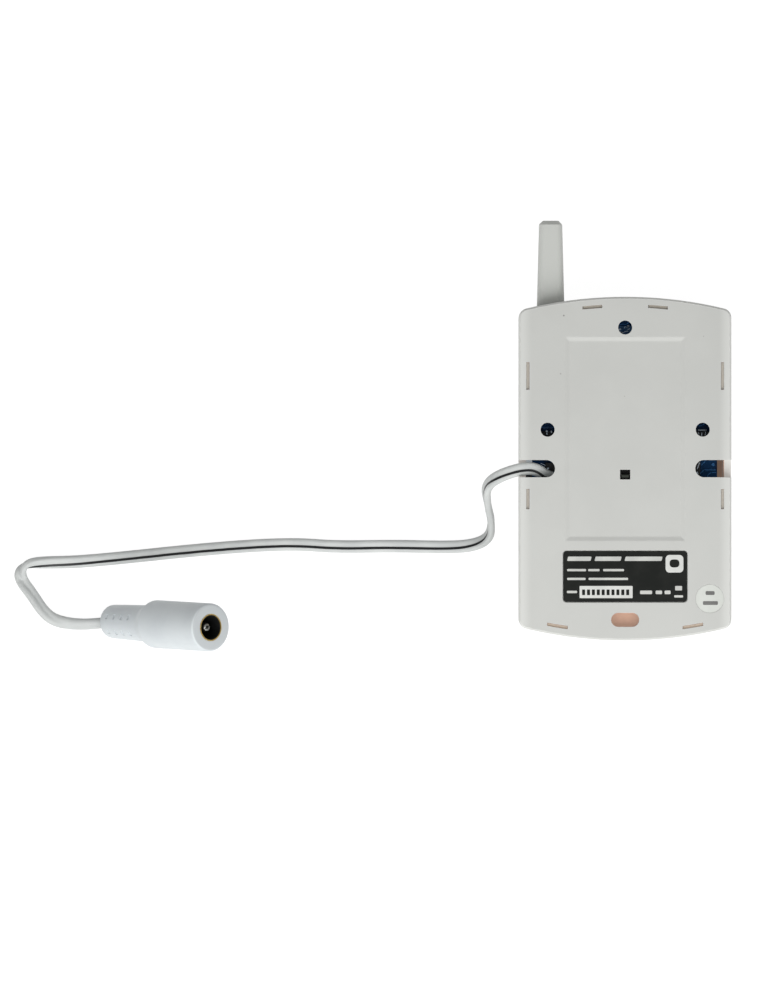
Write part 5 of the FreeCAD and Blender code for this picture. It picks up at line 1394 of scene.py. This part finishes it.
# %% Floor
FLOOR_SIZE = 6.0
FLOOR_DROP = 0.05 * MM
PAPER_LEVEL, SEEN_LEVEL, GLOW_LEVEL = 0.8, 0.2, 0.94
deselect_everything()
bpy.ops.mesh.primitive_plane_add(size=FLOOR_SIZE, location=(0, 0, -FLOOR_DROP))
floor = bpy.context.object
floor.name = "floor"
floor_white = bpy.data.materials.new("floor white")
floor_white.use_nodes = True
tree = floor_white.node_tree
tree.nodes.clear()
output = add_node(tree, "ShaderNodeOutputMaterial")
rays = add_node(tree, "ShaderNodeLightPath")
seen = math_node(tree, "MAXIMUM", rays.outputs["Is Camera Ray"],
                 math_node(tree, "MAXIMUM", rays.outputs["Is Glossy Ray"],
                           rays.outputs["Is Transmission Ray"]))
paper = add_node(tree, "ShaderNodeBsdfDiffuse", in_Color=(PAPER_LEVEL, PAPER_LEVEL, PAPER_LEVEL, 1.0))
seen_paper = add_node(tree, "ShaderNodeBsdfDiffuse", in_Color=(SEEN_LEVEL, SEEN_LEVEL, SEEN_LEVEL, 1.0))
glow = add_node(tree, "ShaderNodeEmission", in_Strength=GLOW_LEVEL)
both = add_node(tree, "ShaderNodeAddShader")
link(tree, seen_paper.outputs[0], both.inputs[0])
link(tree, glow.outputs[0], both.inputs[1])
switch = add_node(tree, "ShaderNodeMixShader")
link(tree, seen, switch.inputs[0])
link(tree, paper.outputs[0], switch.inputs[1])
link(tree, both.outputs[0], switch.inputs[2])
link(tree, switch.outputs[0], output.inputs["Surface"])
floor.data.materials.append(floor_white)
print("floor ready")

# %% [markdown]
# The light is a plain soft studio: a white surround, and one large soft lamp on the near side, where the
# photograph's light comes from. An even surround alone would make the case look like a flat cut-out. So it
# is darker overhead, where the camera hangs, and side faces get as much light as upper faces.
# Low on the far side it is darkest, and there the socket and the lead have their shaded flank.

# %% Light
SURROUND_LEVEL = 0.56
OVERHEAD_LOSS = 0.4
FAR_LOSS = 0.6
NEAR_GAIN = 0.3
world = bpy.data.worlds.new("studio")
bpy.context.scene.world = world
world.use_nodes = True
tree = world.node_tree
background = tree.nodes["Background"]
background.inputs["Color"].default_value = (1.0, 1.0, 1.0, 1.0)
direction = add_node(tree, "ShaderNodeTexCoord").outputs["Generated"]
heading_y, heading_z = axes_of(tree, direction)[1:]
overhead = ramp(tree, heading_z, 0.55, 0.95)
low_down = math_node(tree, "SUBTRACT", 1.0, ramp(tree, heading_z, 0.35, 0.8))
far_side = math_node(tree, "MULTIPLY_ADD", ramp(tree, heading_y, -0.4, 0.4), -NEAR_GAIN - FAR_LOSS, NEAR_GAIN)
level = math_node(tree, "MULTIPLY_ADD", overhead, -OVERHEAD_LOSS * SURROUND_LEVEL, SURROUND_LEVEL)
link(tree, math_node(tree, "MULTIPLY", level, math_node(tree, "MULTIPLY_ADD", far_side, low_down, 1.0)),
     background.inputs["Strength"])

KEY_PLACE, KEY_TARGET = Vector((-0.04, -0.27, 0.36)), Vector((-0.04, -0.02, 0.0))
key_data = bpy.data.lights.new("key", "AREA")
key_data.shape = "RECTANGLE"
key_data.size, key_data.size_y = 0.7, 0.4
key_data.energy = 1.87
key = bpy.data.objects.new("key", key_data)
key.location = KEY_PLACE
key.rotation_euler = (KEY_TARGET - KEY_PLACE).to_track_quat("-Z", "Y").to_euler()
bpy.context.scene.collection.objects.link(key)
bpy.context.scene.view_settings.view_transform = "Standard"
print("key lamp", round(key_data.energy, 2), "W")
